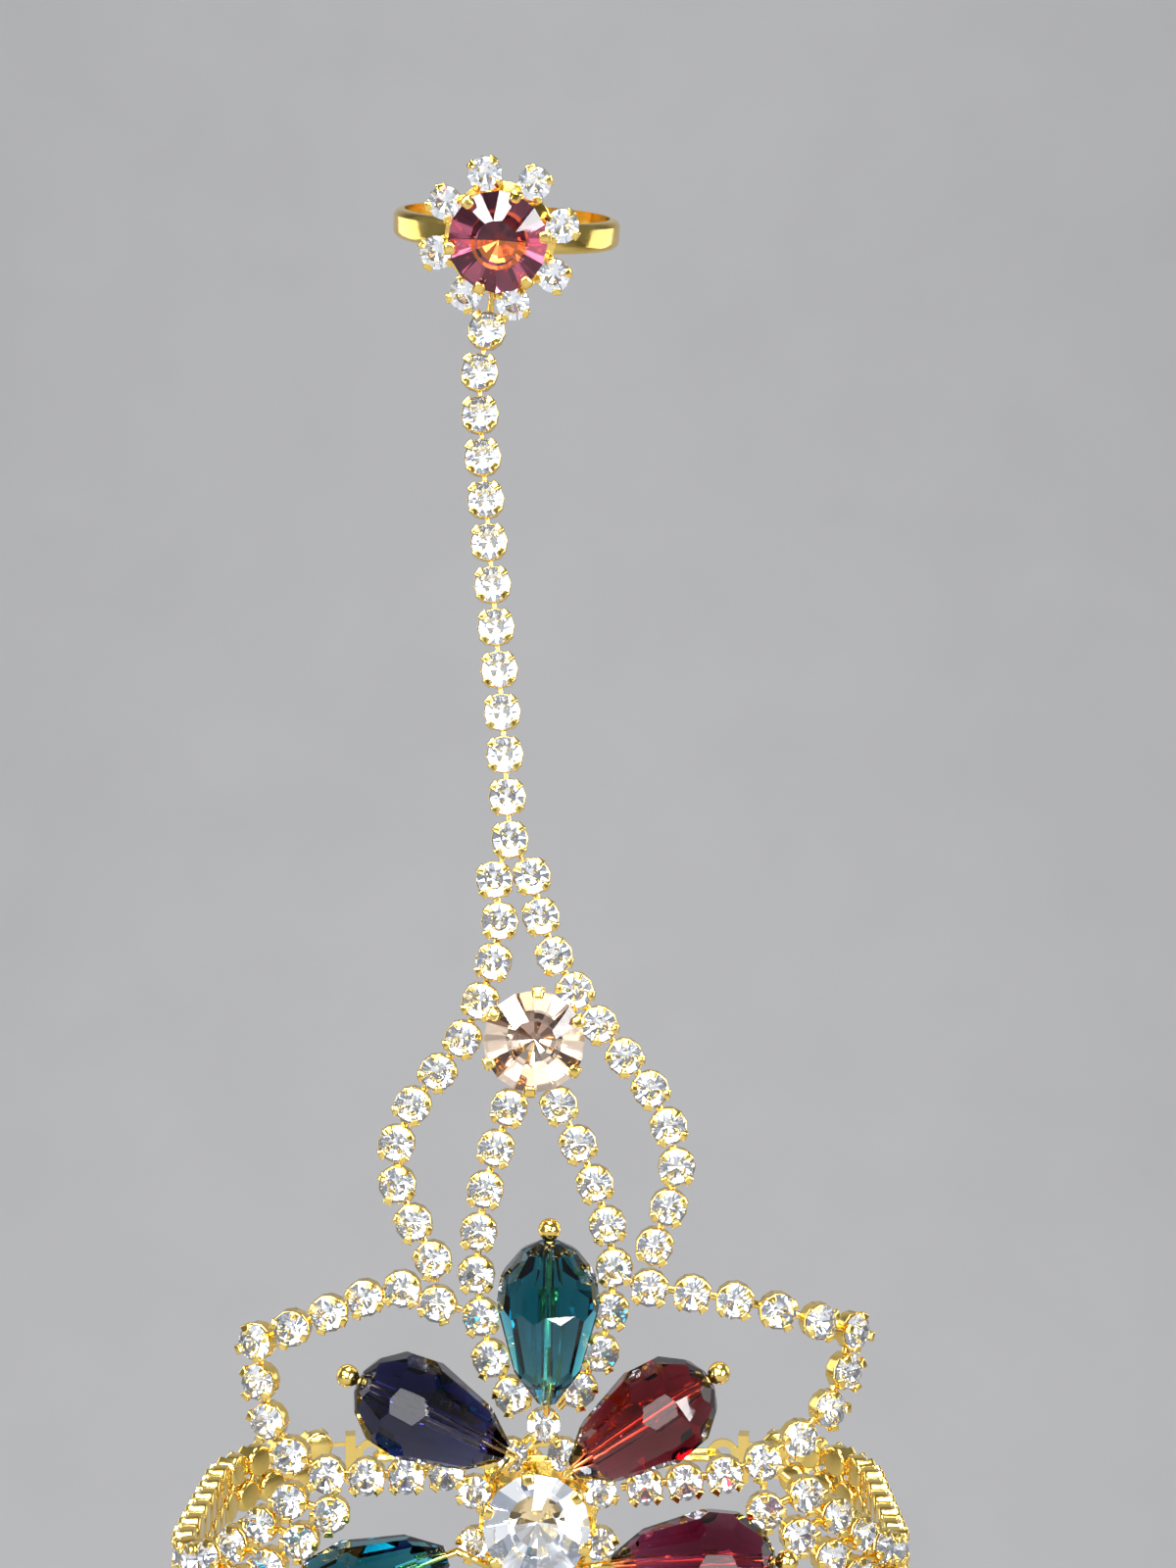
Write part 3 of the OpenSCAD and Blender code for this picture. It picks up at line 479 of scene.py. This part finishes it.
def model_plate(radius):
    """The round plate behind a cluster."""
    one = bpy.context.scene.setting_sizes
    low = 0.05 * MM
    made = begin_cylinder("plate pattern", 64, radius, low, low + one.plate)
    bpy.ops.mesh.select_all(action="DESELECT")
    finish(made, ("BEVEL", {"width": 0.06 * MM, "segments": 2, "limit_method": "ANGLE"}))
    smooth(made)
    return made


def model_bar(width, depth):
    """A unit length of solder bar with rounded edges, along X from 0 to 1."""
    made = begin_cube("bar pattern", 1, width, depth, (0.5, 0, 0))
    pick_edges(lambda a, b: abs(a.x - b.x) > 0.5)
    bpy.ops.mesh.bevel(offset=min(width, depth) * 0.3, segments=3)
    finish(made)
    smooth(made, 60)
    return made


def model_drop():
    """A drilled glass drop, its narrow end down, cut flat facet by facet."""
    drop = bpy.context.scene.drop_sizes
    made = begin_cylinder("drop pattern", 48, drop.width * 0.55, 0, drop.length)
    for up, out, tilt, half_turns in FACET_ROWS:
        for side in range(drop.facets):
            around = 2 * math.pi * (side + half_turns / 2) / drop.facets
            lean = math.radians(tilt)
            flat = Vector((math.cos(around) * math.cos(lean), math.sin(around) * math.cos(lean), math.sin(lean)))
            reach = drop.width / 2 * out
            spot = (math.cos(around) * reach, math.sin(around) * reach, up * drop.length)
            bpy.ops.mesh.select_all(action="SELECT")
            bpy.ops.mesh.bisect(plane_co=spot, plane_no=flat, use_fill=True, clear_outer=True)
    bpy.ops.mesh.select_all(action="SELECT")
    bpy.ops.mesh.normals_make_consistent(inside=False)
    finish(made)
    drill = begin_cylinder("drill", 12, drop.hole / 2, -1 * MM, drop.length + 1 * MM)
    finish(drill)
    deselect()
    bpy.context.view_layer.objects.active = made
    made.select_set(True)
    finish(made, ("BOOLEAN", {"operation": "DIFFERENCE", "object": drill, "solver": "EXACT"}))
    discard(drill)
    return made


def model_ball(diameter):
    """A polished ball with a small collar where its wire comes out."""
    deselect()
    bpy.ops.mesh.primitive_uv_sphere_add(segments=24, ring_count=14, radius=diameter / 2)
    made = begin_edit("ball pattern")
    pick(lambda middle, normal: middle.z < -0.45 * diameter)
    extrude(-0.05 * diameter, 0.9)
    finish(made)
    smooth(made, 60)
    return made


def model_wire(diameter):
    """A unit length of round wire along X from 0 to 1, its ends drawn in."""
    deselect()
    bpy.ops.mesh.primitive_cylinder_add(
        vertices=16, radius=diameter / 2, depth=1, location=(0.5, 0, 0), rotation=(0, math.pi / 2, 0)
    )
    made = begin_edit("wire pattern")
    pick(lambda middle, normal: abs(normal.x) > 0.9)
    inset(0.15 * diameter)
    pick(lambda middle, normal: abs(normal.x) > 0.9 and middle.yz.length < 1e-6)
    bpy.ops.transform.resize(value=(1.01, 1, 1), center_override=(0.5, 0, 0))
    finish(made)
    smooth(made, 60)
    return made


# Places, read from the stones of the CAD nodes


def islands(node):
    """The corner points of each loose solid of a CAD node, in the node's own order."""
    shape = bmesh.new()
    shape.from_mesh(NODES[node].data)
    bmesh.ops.remove_doubles(shape, verts=shape.verts, dist=1e-7)
    shape.verts.ensure_lookup_table()
    seen = set()
    found = []
    for start in shape.verts:
        if start.index in seen:
            continue
        seen.add(start.index)
        group = [start]
        for vert in group:
            for edge in vert.link_edges:
                other = edge.other_vert(vert)
                if other.index not in seen:
                    seen.add(other.index)
                    group.append(other)
        found.append([vert.co.copy() for vert in group])
    shape.free()
    return found


def mean(points):
    return sum(points, Vector()) / len(points)


def stone_axis(points):
    """Point, outward direction and girdle corners of a cut stone."""
    half = (len(points) - 1) // 2
    best = None
    for point in points:
        rest = [p for p in points if p is not point]
        way = (mean(rest) - point).normalized()
        rest.sort(key=lambda p: (p - point).dot(way))
        heights = [(p - point).dot(way) for p in rest]
        unevenness = heights[half - 1] - heights[0] + heights[-1] - heights[half]
        if best is None or unevenness < best[0]:
            best = (unevenness, point, way, rest[:half])
    return best[1:]


def frame_at(base, outward, along):
    """A matrix with its origin at a stone's back, X along its row and Z outwards."""
    x = (along - outward * along.dot(outward)).normalized()
    y = outward.cross(x)
    return Matrix(((x.x, y.x, outward.x, base.x), (x.y, y.y, outward.y, base.y), (x.z, y.z, outward.z, base.z), (0, 0, 0, 1)))


def square_to(girdle, middle, outward, wanted):
    """The direction across a flat of the stone that is nearest to the wanted one."""
    corner = (girdle[0] - middle).normalized()
    step = 2 * math.pi / len(girdle)
    turns = [Matrix.Rotation(step * (k + 0.5), 3, outward) @ corner for k in range(len(girdle))]
    return max(turns, key=lambda turn: turn.dot(wanted))


def places(node, point_lift, wanted):
    """A frame for each stone of a node; wanted gives the direction that each looks along."""
    cut = [stone_axis(points) for points in islands(node)]
    middles = [mean(girdle) for _, _, girdle in cut]
    found = []
    for i, (point, outward, girdle) in enumerate(cut):
        along = square_to(girdle, middles[i], outward, wanted(i, middles))
        found.append(frame_at(point - outward * point_lift, outward, along))
    return found


def next_in_row(i, middles):
    """The direction of travel at a stone of a row, from its neighbours."""
    after = middles[min(i + 1, len(middles) - 1)]
    before = middles[max(i - 1, 0)]
    return (after - before).normalized()


def strap_direction(i, middles):
    """The direction of travel in a strap, whose first half is one row and whose second half the other."""
    half = len(middles) // 2
    row = middles[:half] if i < half else middles[half:]
    return next_in_row(i % half, row)


def row_places(node):
    return places(node, bpy.context.scene.cup_sizes.point_lift, next_in_row)


def strap_places(node):
    return places(node, bpy.context.scene.cup_sizes.point_lift, strap_direction)


def halo_places(node):
    """The frames of a halo's stones, looking out from the large stone in its middle."""
    middle = mean(islands(HALOS[node])[0])
    lift = bpy.context.scene.cup_sizes.point_lift
    return places(node, lift, lambda i, middles: (middles[i] - middle).normalized())


def drop_axis(node):
    """Narrow end and direction of a drop, from the spread of its corner points."""
    points = np.array([tuple(point) for group in islands(node) for point in group])
    middle = points.mean(axis=0)
    way = np.linalg.svd(points - middle)[2][0]
    heights = (points - middle) @ way
    widths = np.linalg.norm(points - middle - np.outer(heights, way), axis=1)
    ends = [widths[heights < heights.min() + MM].max(), widths[heights > heights.max() - MM].max()]
    if ends[0] > ends[1]:
        way, heights = -way, -heights
    axis = points[np.argsort(widths)[: len(points) // 2]].mean(axis=0)
    start = axis + way * (heights.min() - (axis - middle) @ way)
    return Vector(start), Vector(way)


def stone_width(node):
    """The width of a large stone, corner to corner."""
    point, outward, girdle = stone_axis(islands(node)[0])
    middle = mean(girdle)
    return 2 * (girdle[0] - middle).length


def large_place(node):
    return places(node, bpy.context.scene.setting_sizes.point_lift, lambda i, middles: Vector((1, 0, 0)))[0]


def claws_turned(place, stone):
    """A large setting's place, turned so that its claws stand where the stone's claws do."""
    return place @ Matrix.Rotation(math.radians(CLAW_TURNS[stone]), 4, "Z")


# Laying patterns in their places


def lay(pattern, spots):
    """Copies a pattern to each spot, each copy with its own mesh."""
    copies = []
    for spot in spots:
        mesh = pattern.data.copy()
        mesh.transform(spot)
        copy = bpy.data.objects.new("copy", mesh)
        bpy.context.scene.collection.objects.link(copy)
        copies.append(copy)
    return copies


def join(name, parts):
    """Joins parts into one piece."""
    deselect()
    for part in parts:
        part.select_set(True)
    bpy.context.view_layer.objects.active = parts[0]
    bpy.ops.object.join()
    made = bpy.context.object
    made.name = name
    made.data.name = name
    return made


def discard(*patterns):
    for pattern in patterns:
        bpy.data.objects.remove(pattern)


def hold(made, slot, *nodes):
    """Puts a finished piece on the frame in place of its CAD nodes."""
    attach(made, "root")
    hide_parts(*nodes)


def paint(made, *materials):
    made.data.materials.clear()
    for material in materials:
        made.data.materials.append(material)


def stretch(a, b):
    """Where a unit of wire goes from one point to another."""
    way = (b - a).normalized()
    side = way.orthogonal().normalized()
    up = way.cross(side)
    rows = [(way[i] * (b - a).length, side[i], up[i], a[i]) for i in range(3)]
    return Matrix((*rows, (0, 0, 0, 1)))


def bar_spot(a, b, lift, start, end):
    """Where a bar goes from one frame to another, from a distance past the first to one short of the second."""
    low = a.translation + a.col[2].xyz * lift
    high = b.translation + b.col[2].xyz * lift
    way = (high - low).normalized()
    low = low + way * start
    length = (high - low).length - end
    up = (a.col[2].xyz + b.col[2].xyz).normalized()
    side = up.cross(way).normalized()
    up = way.cross(side)
    return Matrix(
        (
            (way.x * length, side.x, up.x, low.x),
            (way.y * length, side.y, up.y, low.y),
            (way.z * length, side.z, up.z, low.z),
            (0, 0, 0, 1),
        )
    )


def solder(pairs):
    """Solder bars from wall to wall of each pair of cups."""
    cup = bpy.context.scene.cup_sizes
    pattern = model_bar(cup.bar_width, cup.bar_depth)
    inside = cup.width / 2 - cup.wall
    made = lay(pattern, [bar_spot(a, b, cup.bar_lift, inside, inside) for a, b in pairs])
    discard(pattern)
    return made


def tabs(pairs, start=None):
    """Solder bars that end just short of a cup of another piece."""
    cup = bpy.context.scene.cup_sizes
    pattern = model_bar(cup.bar_width, cup.bar_depth)
    start = cup.width / 2 - cup.wall if start is None else start
    end = cup.width / 2 + cup.solder_gap
    made = lay(pattern, [bar_spot(a, b, cup.bar_lift, start, end) for a, b in pairs])
    discard(pattern)
    return made


def tongues(pairs):
    """Narrow tongues from one cup into the next."""
    cup = bpy.context.scene.cup_sizes
    pattern = model_bar(cup.tongue_width, cup.tongue_width * 0.7)
    inside = cup.width / 2 - cup.wall
    made = lay(pattern, [bar_spot(a, b, cup.tongue_lift, inside, inside) for a, b in pairs])
    discard(pattern)
    return made


def nearest(spots, to):
    return min(spots, key=lambda spot: (spot.translation - to.translation).length)


def neighbours(spots):
    return list(zip(spots, spots[1:]))


# Operators


class ChainOperator:
    """What the operators share."""

    bl_options = {"REGISTER", "UNDO"}


class CHAIN_OT_small_stones(ChainOperator, bpy.types.Operator):
    """Cuts every small clear stone and sets it in its node's place"""

    bl_idname = "chain.small_stones"
    bl_label = "Small stones"

    def execute(self, context):
        cup = context.scene.cup_sizes
        tone = context.scene.chain_finishes.clear
        low, high = cup.point_lift - cup.deep, cup.girdle + cup.crown
        clear = glass("clear", tone)
        # The small stones' foil takes the centre's painted bright colour and glows with the painted sheen
        mirror = foil_with_painted_light("clear", context.scene.chain_finishes.centre_bright, context.scene.chain_finishes.painted_sheen)
        patterns = {}
        for width in (cup.stone, cup.halo_stone):
            pattern = model_stone("stone pattern", 12, width, low, cup.girdle, high, 0.52)
            paint(pattern, clear, mirror)
            for face in pattern.data.polygons:
                face.material_index = 1 if face.normal.z < -0.1 else 0
            patterns[width] = pattern
        groups = {node: halo_places(node) for node in HALOS}
        groups["finger_chain_stones"] = row_places("finger_chain_stones")
        for node in SOLDERED.values():
            groups[node] = row_places(node)
        for node in STRAPS.values():
            groups[node] = strap_places(node)
        for node, spots in groups.items():
            pattern = patterns[cup.halo_stone if node in HALOS else cup.stone]
            made = join(f"{node}_cut", lay(pattern, spots))
            hold(made, "clear_crystal", node)
        discard(*patterns.values())
        return {"FINISHED"}


class CHAIN_OT_large_stones(ChainOperator, bpy.types.Operator):
    """Cuts the three large stones"""

    bl_idname = "chain.large_stones"
    bl_label = "Large stones"

    def execute(self, context):
        one = context.scene.setting_sizes
        tones = context.scene.chain_finishes
        stones = {
            "ring_stone": ("plum_crystal", "plum", tones.plum),
            "upper_stone": ("champagne_crystal", "champagne", tones.champagne),
            "centre_stone": ("clear_crystal", "centre", tones.clear),
        }
        low, high = one.point_lift - one.deep, one.girdle + one.crown
        for node, (slot, name, tone) in stones.items():
            width = stone_width(node)
            made = model_stone(f"{node}_cut", 16, width, low, one.girdle, high, 0.44, 0.62)
            # Each back is split into foils of painted light and shade: bright and dark facets in turn, a darker upper
            # and a brighter lower half behind the table
            backs = []
            for part in ("bright", "dark", "upper", "lower"):
                # Every foil glows with painted light: the brightest with the glow, the rest with the sheen
                painted_glow = tones.painted_glow if (name, part) in PAINTED_GLOW_PARTS else tones.painted_sheen
                backs.append(foil_with_painted_light(f"{name} {part}", getattr(tones, f"{name}_{part}"), painted_glow))
            paint(made, glass(name, tone), *backs)
            for face in made.data.polygons:
                face.material_index = self.part(face, width)
            made.data.transform(large_place(node))
            hold(made, slot, node)
        return {"FINISHED"}

    def part(self, face, width):
        """Which material a facet has: 0 the glass, then the backs painted with light and shade: 1 the bright facets, 2
        the darker ones, 3 the darker upper and 4 the brighter lower half behind the table.
        """
        if face.normal.z > -0.1:
            return 0
        if face.center.xy.length < 0.25 * width:
            return 3 if face.center.y > 0 else 4
        turn = math.degrees(math.atan2(face.center.y, face.center.x)) % 360
        return 1 if int(turn / 22.5) in PAINTED_BRIGHT_FACETS else 2


class CHAIN_OT_finger_chain(ChainOperator, bpy.types.Operator):
    """Makes the linked cups of the finger chain"""

    bl_idname = "chain.finger_chain"
    bl_label = "Finger chain"

    def execute(self, context):
        spots = row_places("finger_chain_stones")
        heads = [row_places(node)[0] for node in ("outer_stones_left", "outer_stones_right")]
        pattern = model_cup(context.scene.cup_sizes.stone, context.scene.cup_sizes.width)
        parts = lay(pattern, spots) + tongues(neighbours(spots) + [(spots[-1], head) for head in heads])
        made = join("finger_chain_cups", parts)
        paint(made, gold())
        hold(made, "gold_metal", "finger_chain")
        discard(pattern)
        return {"FINISHED"}


class CHAIN_OT_soldered(ChainOperator, bpy.types.Operator):
    """Makes the soldered strands and petals"""

    bl_idname = "chain.soldered"
    bl_label = "Strands and petals"

    def execute(self, context):
        spots = {node: row_places(stones) for node, stones in SOLDERED.items()}
        centre = halo_places("centre_halo_stones")
        link, ring = centre[-1], centre[:-1]
        straps = {node: strap_places(stones) for node, stones in STRAPS.items()}
        ends = {
            "outer_strand_left": [(spots["outer_strand_left"][0], spots["outer_strand_right"][0])],
            "outer_strand_right": [],
        }
        for side in ("left", "right"):
            outer, inner, petal = (spots[f"{name}_{side}"] for name in ("outer_strand", "inner_strand", "petal"))
            strap = straps[f"strap_{side}"]
            ends[f"outer_strand_{side}"].append((outer[-1], petal[0]))
            ends[f"inner_strand_{side}"] = [(inner[-1], link)]
            ends[f"petal_{side}"] = [(petal[0], nearest(inner, petal[0])), (petal[-1], nearest(ring, petal[-1]))]
            for first in (strap[0], strap[len(strap) // 2]):
                ends[f"petal_{side}"].append((nearest(petal, first), first))
        pattern = model_cup(context.scene.cup_sizes.stone, context.scene.cup_sizes.width)
        for node, row in spots.items():
            made = join(f"{node}_cups", lay(pattern, row) + solder(neighbours(row)) + tabs(ends[node]))
            paint(made, gold())
            hold(made, "gold_metal", node)
        discard(pattern)
        return {"FINISHED"}


class CHAIN_OT_straps(ChainOperator, bpy.types.Operator):
    """Makes the staggered two-row straps"""

    bl_idname = "chain.straps"
    bl_label = "Straps"

    def execute(self, context):
        pattern = model_cup(context.scene.cup_sizes.stone, context.scene.cup_sizes.width)
        for node, stones in STRAPS.items():
            spots = strap_places(stones)
            half = len(spots) // 2
            inner, outer = spots[:half], spots[half:]
            links = tongues(neighbours(inner) + neighbours(outer))
            made = join(f"{node}_cups", lay(pattern, spots) + links + solder(list(zip(inner, outer))))
            paint(made, gold())
            hold(made, "gold_metal", node)
        discard(pattern)
        return {"FINISHED"}


class CHAIN_OT_upper_setting(ChainOperator, bpy.types.Operator):
    """Makes the large setting between the strands"""

    bl_idname = "chain.upper_setting"
    bl_label = "Upper setting"

    def execute(self, context):
        one = context.scene.setting_sizes
        middle = large_place("upper_stone")
        near = [nearest(row_places(f"outer_stones_{side}"), middle) for side in ("left", "right")]
        near += [row_places(f"inner_stones_{side}")[0] for side in ("left", "right")]
        pattern = model_setting(stone_width("upper_stone"))
        turned = claws_turned(middle, "upper_stone")
        parts = lay(pattern, [turned]) + tabs([(middle, spot) for spot in near], one.foot - 0.5 * MM)
        made = join("upper_setting_basket", parts)
        paint(made, gold())
        hold(made, "gold_metal", "upper_setting")
        discard(pattern)
        return {"FINISHED"}


class CHAIN_OT_centre(ChainOperator, bpy.types.Operator):
    """Makes the flower's centre: setting, halo of cups, link cup and plates"""

    bl_idname = "chain.centre"
    bl_label = "Flower centre"

    def execute(self, context):
        one = context.scene.setting_sizes
        middle = large_place("centre_stone")
        spots = halo_places("centre_halo_stones")
        link, ring = spots[-1], spots[:-1]
        halo = (ring[0].translation - middle.translation).length
        basket = model_setting(stone_width("centre_stone"))
        cup = model_cup(context.scene.cup_sizes.halo_stone, context.scene.cup_sizes.halo_width)
        plate = model_plate(halo - 0.7 * MM)
        square = begin_cube("square plate", 2 * one.plate_half, 2 * one.plate_half, one.plate - 0.06 * MM)
        bpy.ops.mesh.select_all(action="SELECT")
        bpy.ops.transform.translate(value=(0, 0, 0.05 * MM + one.plate / 2))
        pick_edges(lambda a, b: abs(a.z - b.z) > 0.1 * MM)
        bpy.ops.mesh.bevel(offset=0.25 * MM, segments=3)
        bpy.ops.mesh.select_all(action="DESELECT")
        finish(square, ("BEVEL", {"width": 0.06 * MM, "segments": 2, "limit_method": "ANGLE"}))
        smooth(square)
        turned = claws_turned(middle, "centre_stone")
        near = sorted(ring, key=lambda spot: (spot.translation - link.translation).length)[:2]
        parts = lay(basket, [turned]) + lay(cup, spots) + lay(plate, [middle]) + lay(square, [middle])
        parts += solder([(spot, link) for spot in near])
        made = join("centre_cluster", parts)
        paint(made, gold())
        hold(made, "gold_metal", "centre_setting")
        discard(basket, cup, plate, square)
        return {"FINISHED"}


class CHAIN_OT_finger_ring(ChainOperator, bpy.types.Operator):
    """Makes the finger ring: band, plate, halo of cups and large setting"""

    bl_idname = "chain.finger_ring"
    bl_label = "Finger ring"

    def execute(self, context):
        middle = large_place("ring_stone")
        spots = halo_places("ring_halo_stones")
        halo = (spots[0].translation - middle.translation).length
        basket = model_setting(stone_width("ring_stone"))
        cup = model_cup(context.scene.cup_sizes.halo_stone, context.scene.cup_sizes.halo_width)
        plate = model_plate(halo - 0.7 * MM)
        hoop = self.model_band(context)
        turned = claws_turned(middle, "ring_stone")
        first = row_places("finger_chain_stones")[0]
        parts = lay(basket, [turned]) + lay(cup, spots) + lay(plate, [middle]) + [hoop]
        pattern = model_bar(0.5 * MM, 0.4 * MM)
        cup_sizes = context.scene.cup_sizes
        parts += lay(pattern, [bar_spot(middle, first, 0.3 * MM, halo - 1.1 * MM, cup_sizes.width / 2 - cup_sizes.wall)])
        made = join("finger_ring_band", parts)
        paint(made, gold())
        hold(made, "gold_metal", "finger_ring")
        discard(basket, cup, plate, pattern)
        return {"FINISHED"}

    def model_band(self, context):
        """A half-round band round the finger's own axis."""
        band = context.scene.band_sizes
        mount = next(m for m in frame["record"]["mounts"] if m["name"] == "finger")
        inside = mount["dims"]["r_mm"] * MM
        half = band.width / 2
        made = begin_cylinder("band pattern", 128, inside + band.thick, -half, half)
        pick(lambda middle, normal: abs(normal.z) > 0.9)
        inset(band.thick)
        bpy.ops.mesh.bridge_edge_loops()
        outside = inside + band.thick - 1e-6
        pick_edges(lambda a, b: a.xy.length > outside and b.xy.length > outside and abs(a.z - b.z) < 1e-6)
        bpy.ops.mesh.bevel(offset=band.thick * 0.75, segments=6)
        bpy.ops.mesh.select_all(action="SELECT")
        bpy.ops.mesh.normals_make_consistent(inside=False)
        finish(made)
        smooth(made, 40)
        axis = Vector(mount["axis"]).normalized()
        made.data.transform(axis.to_track_quat("Z", "Y").to_matrix().to_4x4())
        made.data.transform(Matrix.Translation(Vector(mount["pos_m"])))
        return made


class CHAIN_OT_drops(ChainOperator, bpy.types.Operator):
    """Cuts the glass drops and makes the ball-headed pins through them"""

    bl_idname = "chain.drops"
    bl_label = "Glass drops"

    def execute(self, context):
        tones = context.scene.chain_finishes
        drop = context.scene.drop_sizes
        pattern = model_drop()
        ball = model_ball(drop.ball)
        bead = model_ball(drop.wire)
        wire = model_wire(drop.wire)
        for node, tone in DROP_GLASS.items():
            start, way = drop_axis(node)
            spot = frame_at(start, way, Vector((0, -1, 0)))
            made = join(f"{node}_cut", lay(pattern, [spot]))
            paint(made, deep_glass(tone, getattr(tones, tone), tones.depth))
            hold(made, f"{tone}_glass", node)
            pin = node.replace("drop", "pin")
            head = frame_at(start + way * (drop.length + drop.ball_gap + drop.ball / 2), way, Vector((0, -1, 0)))
            inner = start - way * drop.bend_step
            foot = self.foot(pin)
            over = Vector((foot.x, start.y + drop.bend_drop, foot.z))
            route = [head.translation, inner, over, foot]
            turns = [Matrix.Translation(point) for point in (inner, over)]
            parts = lay(ball, [head]) + lay(bead, turns) + lay(wire, [stretch(a, b) for a, b in neighbours(route)])
            made = join(f"{pin}_wire", parts)
            paint(made, gold())
            hold(made, "gold_metal", pin)
        discard(pattern, ball, bead, wire)
        return {"FINISHED"}

    def foot(self, pin):
        """The middle of the end of a pin that stands nearest to the hand."""
        points = islands(pin)[0]
        last = max(point.y for point in points)
        return mean([point for point in points if point.y > last - 1e-6])


class CHAIN_OT_clasp(ChainOperator, bpy.types.Operator):
    """Finishes the strap ends, the extender, the link and the clasp"""

    bl_idname = "chain.clasp"
    bl_label = "Clasp and extender"

    def execute(self, context):
        for node in ("strap_end_left", "strap_end_right", "extender_chain", "clasp", "clasp_ring"):
            paint(NODES[node], gold())
        return {"FINISHED"}


class CHAIN_OT_stage(ChainOperator, bpy.types.Operator):
    """Sets the camera, the lights, the floor and the backdrop"""

    bl_idname = "chain.stage"
    bl_label = "Stage"

    def execute(self, context):
        self.add_camera(context)
        self.add_backdrop(context)
        for name, place, across, power in SOFT_LIGHTS:
            self.add_light(name, place, across, power)
        world = bpy.data.worlds.new("studio")
        world.use_nodes = True
        world.node_tree.nodes["Background"].inputs["Color"].default_value = (0.9, 0.94, 1.0, 1)
        world.node_tree.nodes["Background"].inputs["Strength"].default_value = 0.2
        context.scene.world = world
        context.scene.view_settings.view_transform = "Standard"
        return {"FINISHED"}

    def add_camera(self, context):
        stage = context.scene.stage_sizes
        camera = bpy.data.objects.new("camera", bpy.data.cameras.new("camera"))
        context.scene.collection.objects.link(camera)
        camera.data.sensor_width = 36
        camera.data.lens = 36 * stage.distance / stage.height
        camera.data.clip_start = 0.01
        camera.data.clip_end = 10
        camera.location = (stage.across, -stage.hand - stage.distance, stage.up)
        camera.rotation_euler = (math.pi / 2, 0, 0)
        context.scene.camera = camera

    def add_backdrop(self, context):
        """A floor that sweeps up behind into a wall."""
        stage = context.scene.stage_sizes
        deselect()
        bpy.ops.mesh.primitive_plane_add(size=2.4, location=(0, stage.wall - 1.2, stage.floor))
        made = begin_edit("backdrop")
        pick_edges(lambda a, b: a.y > stage.wall - 1e-4 and b.y > stage.wall - 1e-4)
        bpy.ops.mesh.extrude_region_move(TRANSFORM_OT_translate={"value": (0, 0, 1.4)})
        pick_edges(
            lambda a, b: min(a.y, b.y) > stage.wall - 1e-4 and max(a.z, b.z) < stage.floor + 1e-4
        )
        bpy.ops.mesh.bevel(offset=0.36, segments=24)
        finish(made)
        smooth(made, 60)
        cloth, tree, shader = new_material("backdrop paper")
        shader.inputs["Roughness"].default_value = 0.9
        tone = object_noise(tree, 30)
        mix = tree.nodes.new("ShaderNodeMix")
        mix.data_type = "RGBA"
        mix.inputs[6].default_value = (0.25, 0.25, 0.255, 1)
        mix.inputs[7].default_value = (0.275, 0.275, 0.28, 1)
        tree.links.new(tone.outputs["Fac"], mix.inputs[0])
        tree.links.new(mix.outputs[2], shader.inputs["Base Color"])
        made.data.materials.append(cloth)

    def add_light(self, name, place_mm, size_mm, power):
        """A square soft light that looks at the middle of the piece."""
        stage = bpy.context.scene.stage_sizes
        light = bpy.data.objects.new(name, bpy.data.lights.new(name, "AREA"))
        light.data.shape = "SQUARE"
        light.data.size = size_mm * MM
        light.data.energy = power
        light.location = Vector(place_mm) * MM
        target = Vector((stage.across, -stage.hand, stage.up))
        light.rotation_euler = (light.location - target).to_track_quat("Z", "Y").to_euler()
        light.visible_camera = False
        bpy.context.scene.collection.objects.link(light)


class CHAIN_PT_panel(bpy.types.Panel):
    bl_idname = "CHAIN_PT_panel"
    bl_label = "Hand chain"
    bl_space_type = "VIEW_3D"
    bl_region_type = "UI"
    bl_category = "Hand chain"

    def draw(self, context):
        for operator in OPERATORS:
            self.layout.operator(operator.bl_idname)
        for title, group in GROUPS.items():
            for name in group.__annotations__:
                self.layout.prop(getattr(context.scene, title), name)


GROUPS = {
    "cup_sizes": CupSizes,
    "setting_sizes": SettingSizes,
    "band_sizes": BandSizes,
    "drop_sizes": DropSizes,
    "chain_finishes": ColoursAndPaintedLight,
    "stage_sizes": StageSizes,
}
OPERATORS = (
    CHAIN_OT_stage,
    CHAIN_OT_small_stones,
    CHAIN_OT_large_stones,
    CHAIN_OT_finger_chain,
    CHAIN_OT_soldered,
    CHAIN_OT_straps,
    CHAIN_OT_upper_setting,
    CHAIN_OT_centre,
    CHAIN_OT_finger_ring,
    CHAIN_OT_drops,
    CHAIN_OT_clasp,
)


def register():
    for name, group in GROUPS.items():
        bpy.utils.register_class(group)
        setattr(bpy.types.Scene, name, bpy.props.PointerProperty(type=group))
    for operator in OPERATORS:
        bpy.utils.register_class(operator)
    bpy.utils.register_class(CHAIN_PT_panel)


def unregister():
    bpy.utils.unregister_class(CHAIN_PT_panel)
    for operator in reversed(OPERATORS):
        bpy.utils.unregister_class(operator)
    for name, group in GROUPS.items():
        delattr(bpy.types.Scene, name)
        bpy.utils.unregister_class(group)


def main():
    register()
    for operator in OPERATORS:
        group, name = operator.bl_idname.split(".")
        getattr(getattr(bpy.ops, group), name)()


if __name__ == "__main__":
    main()
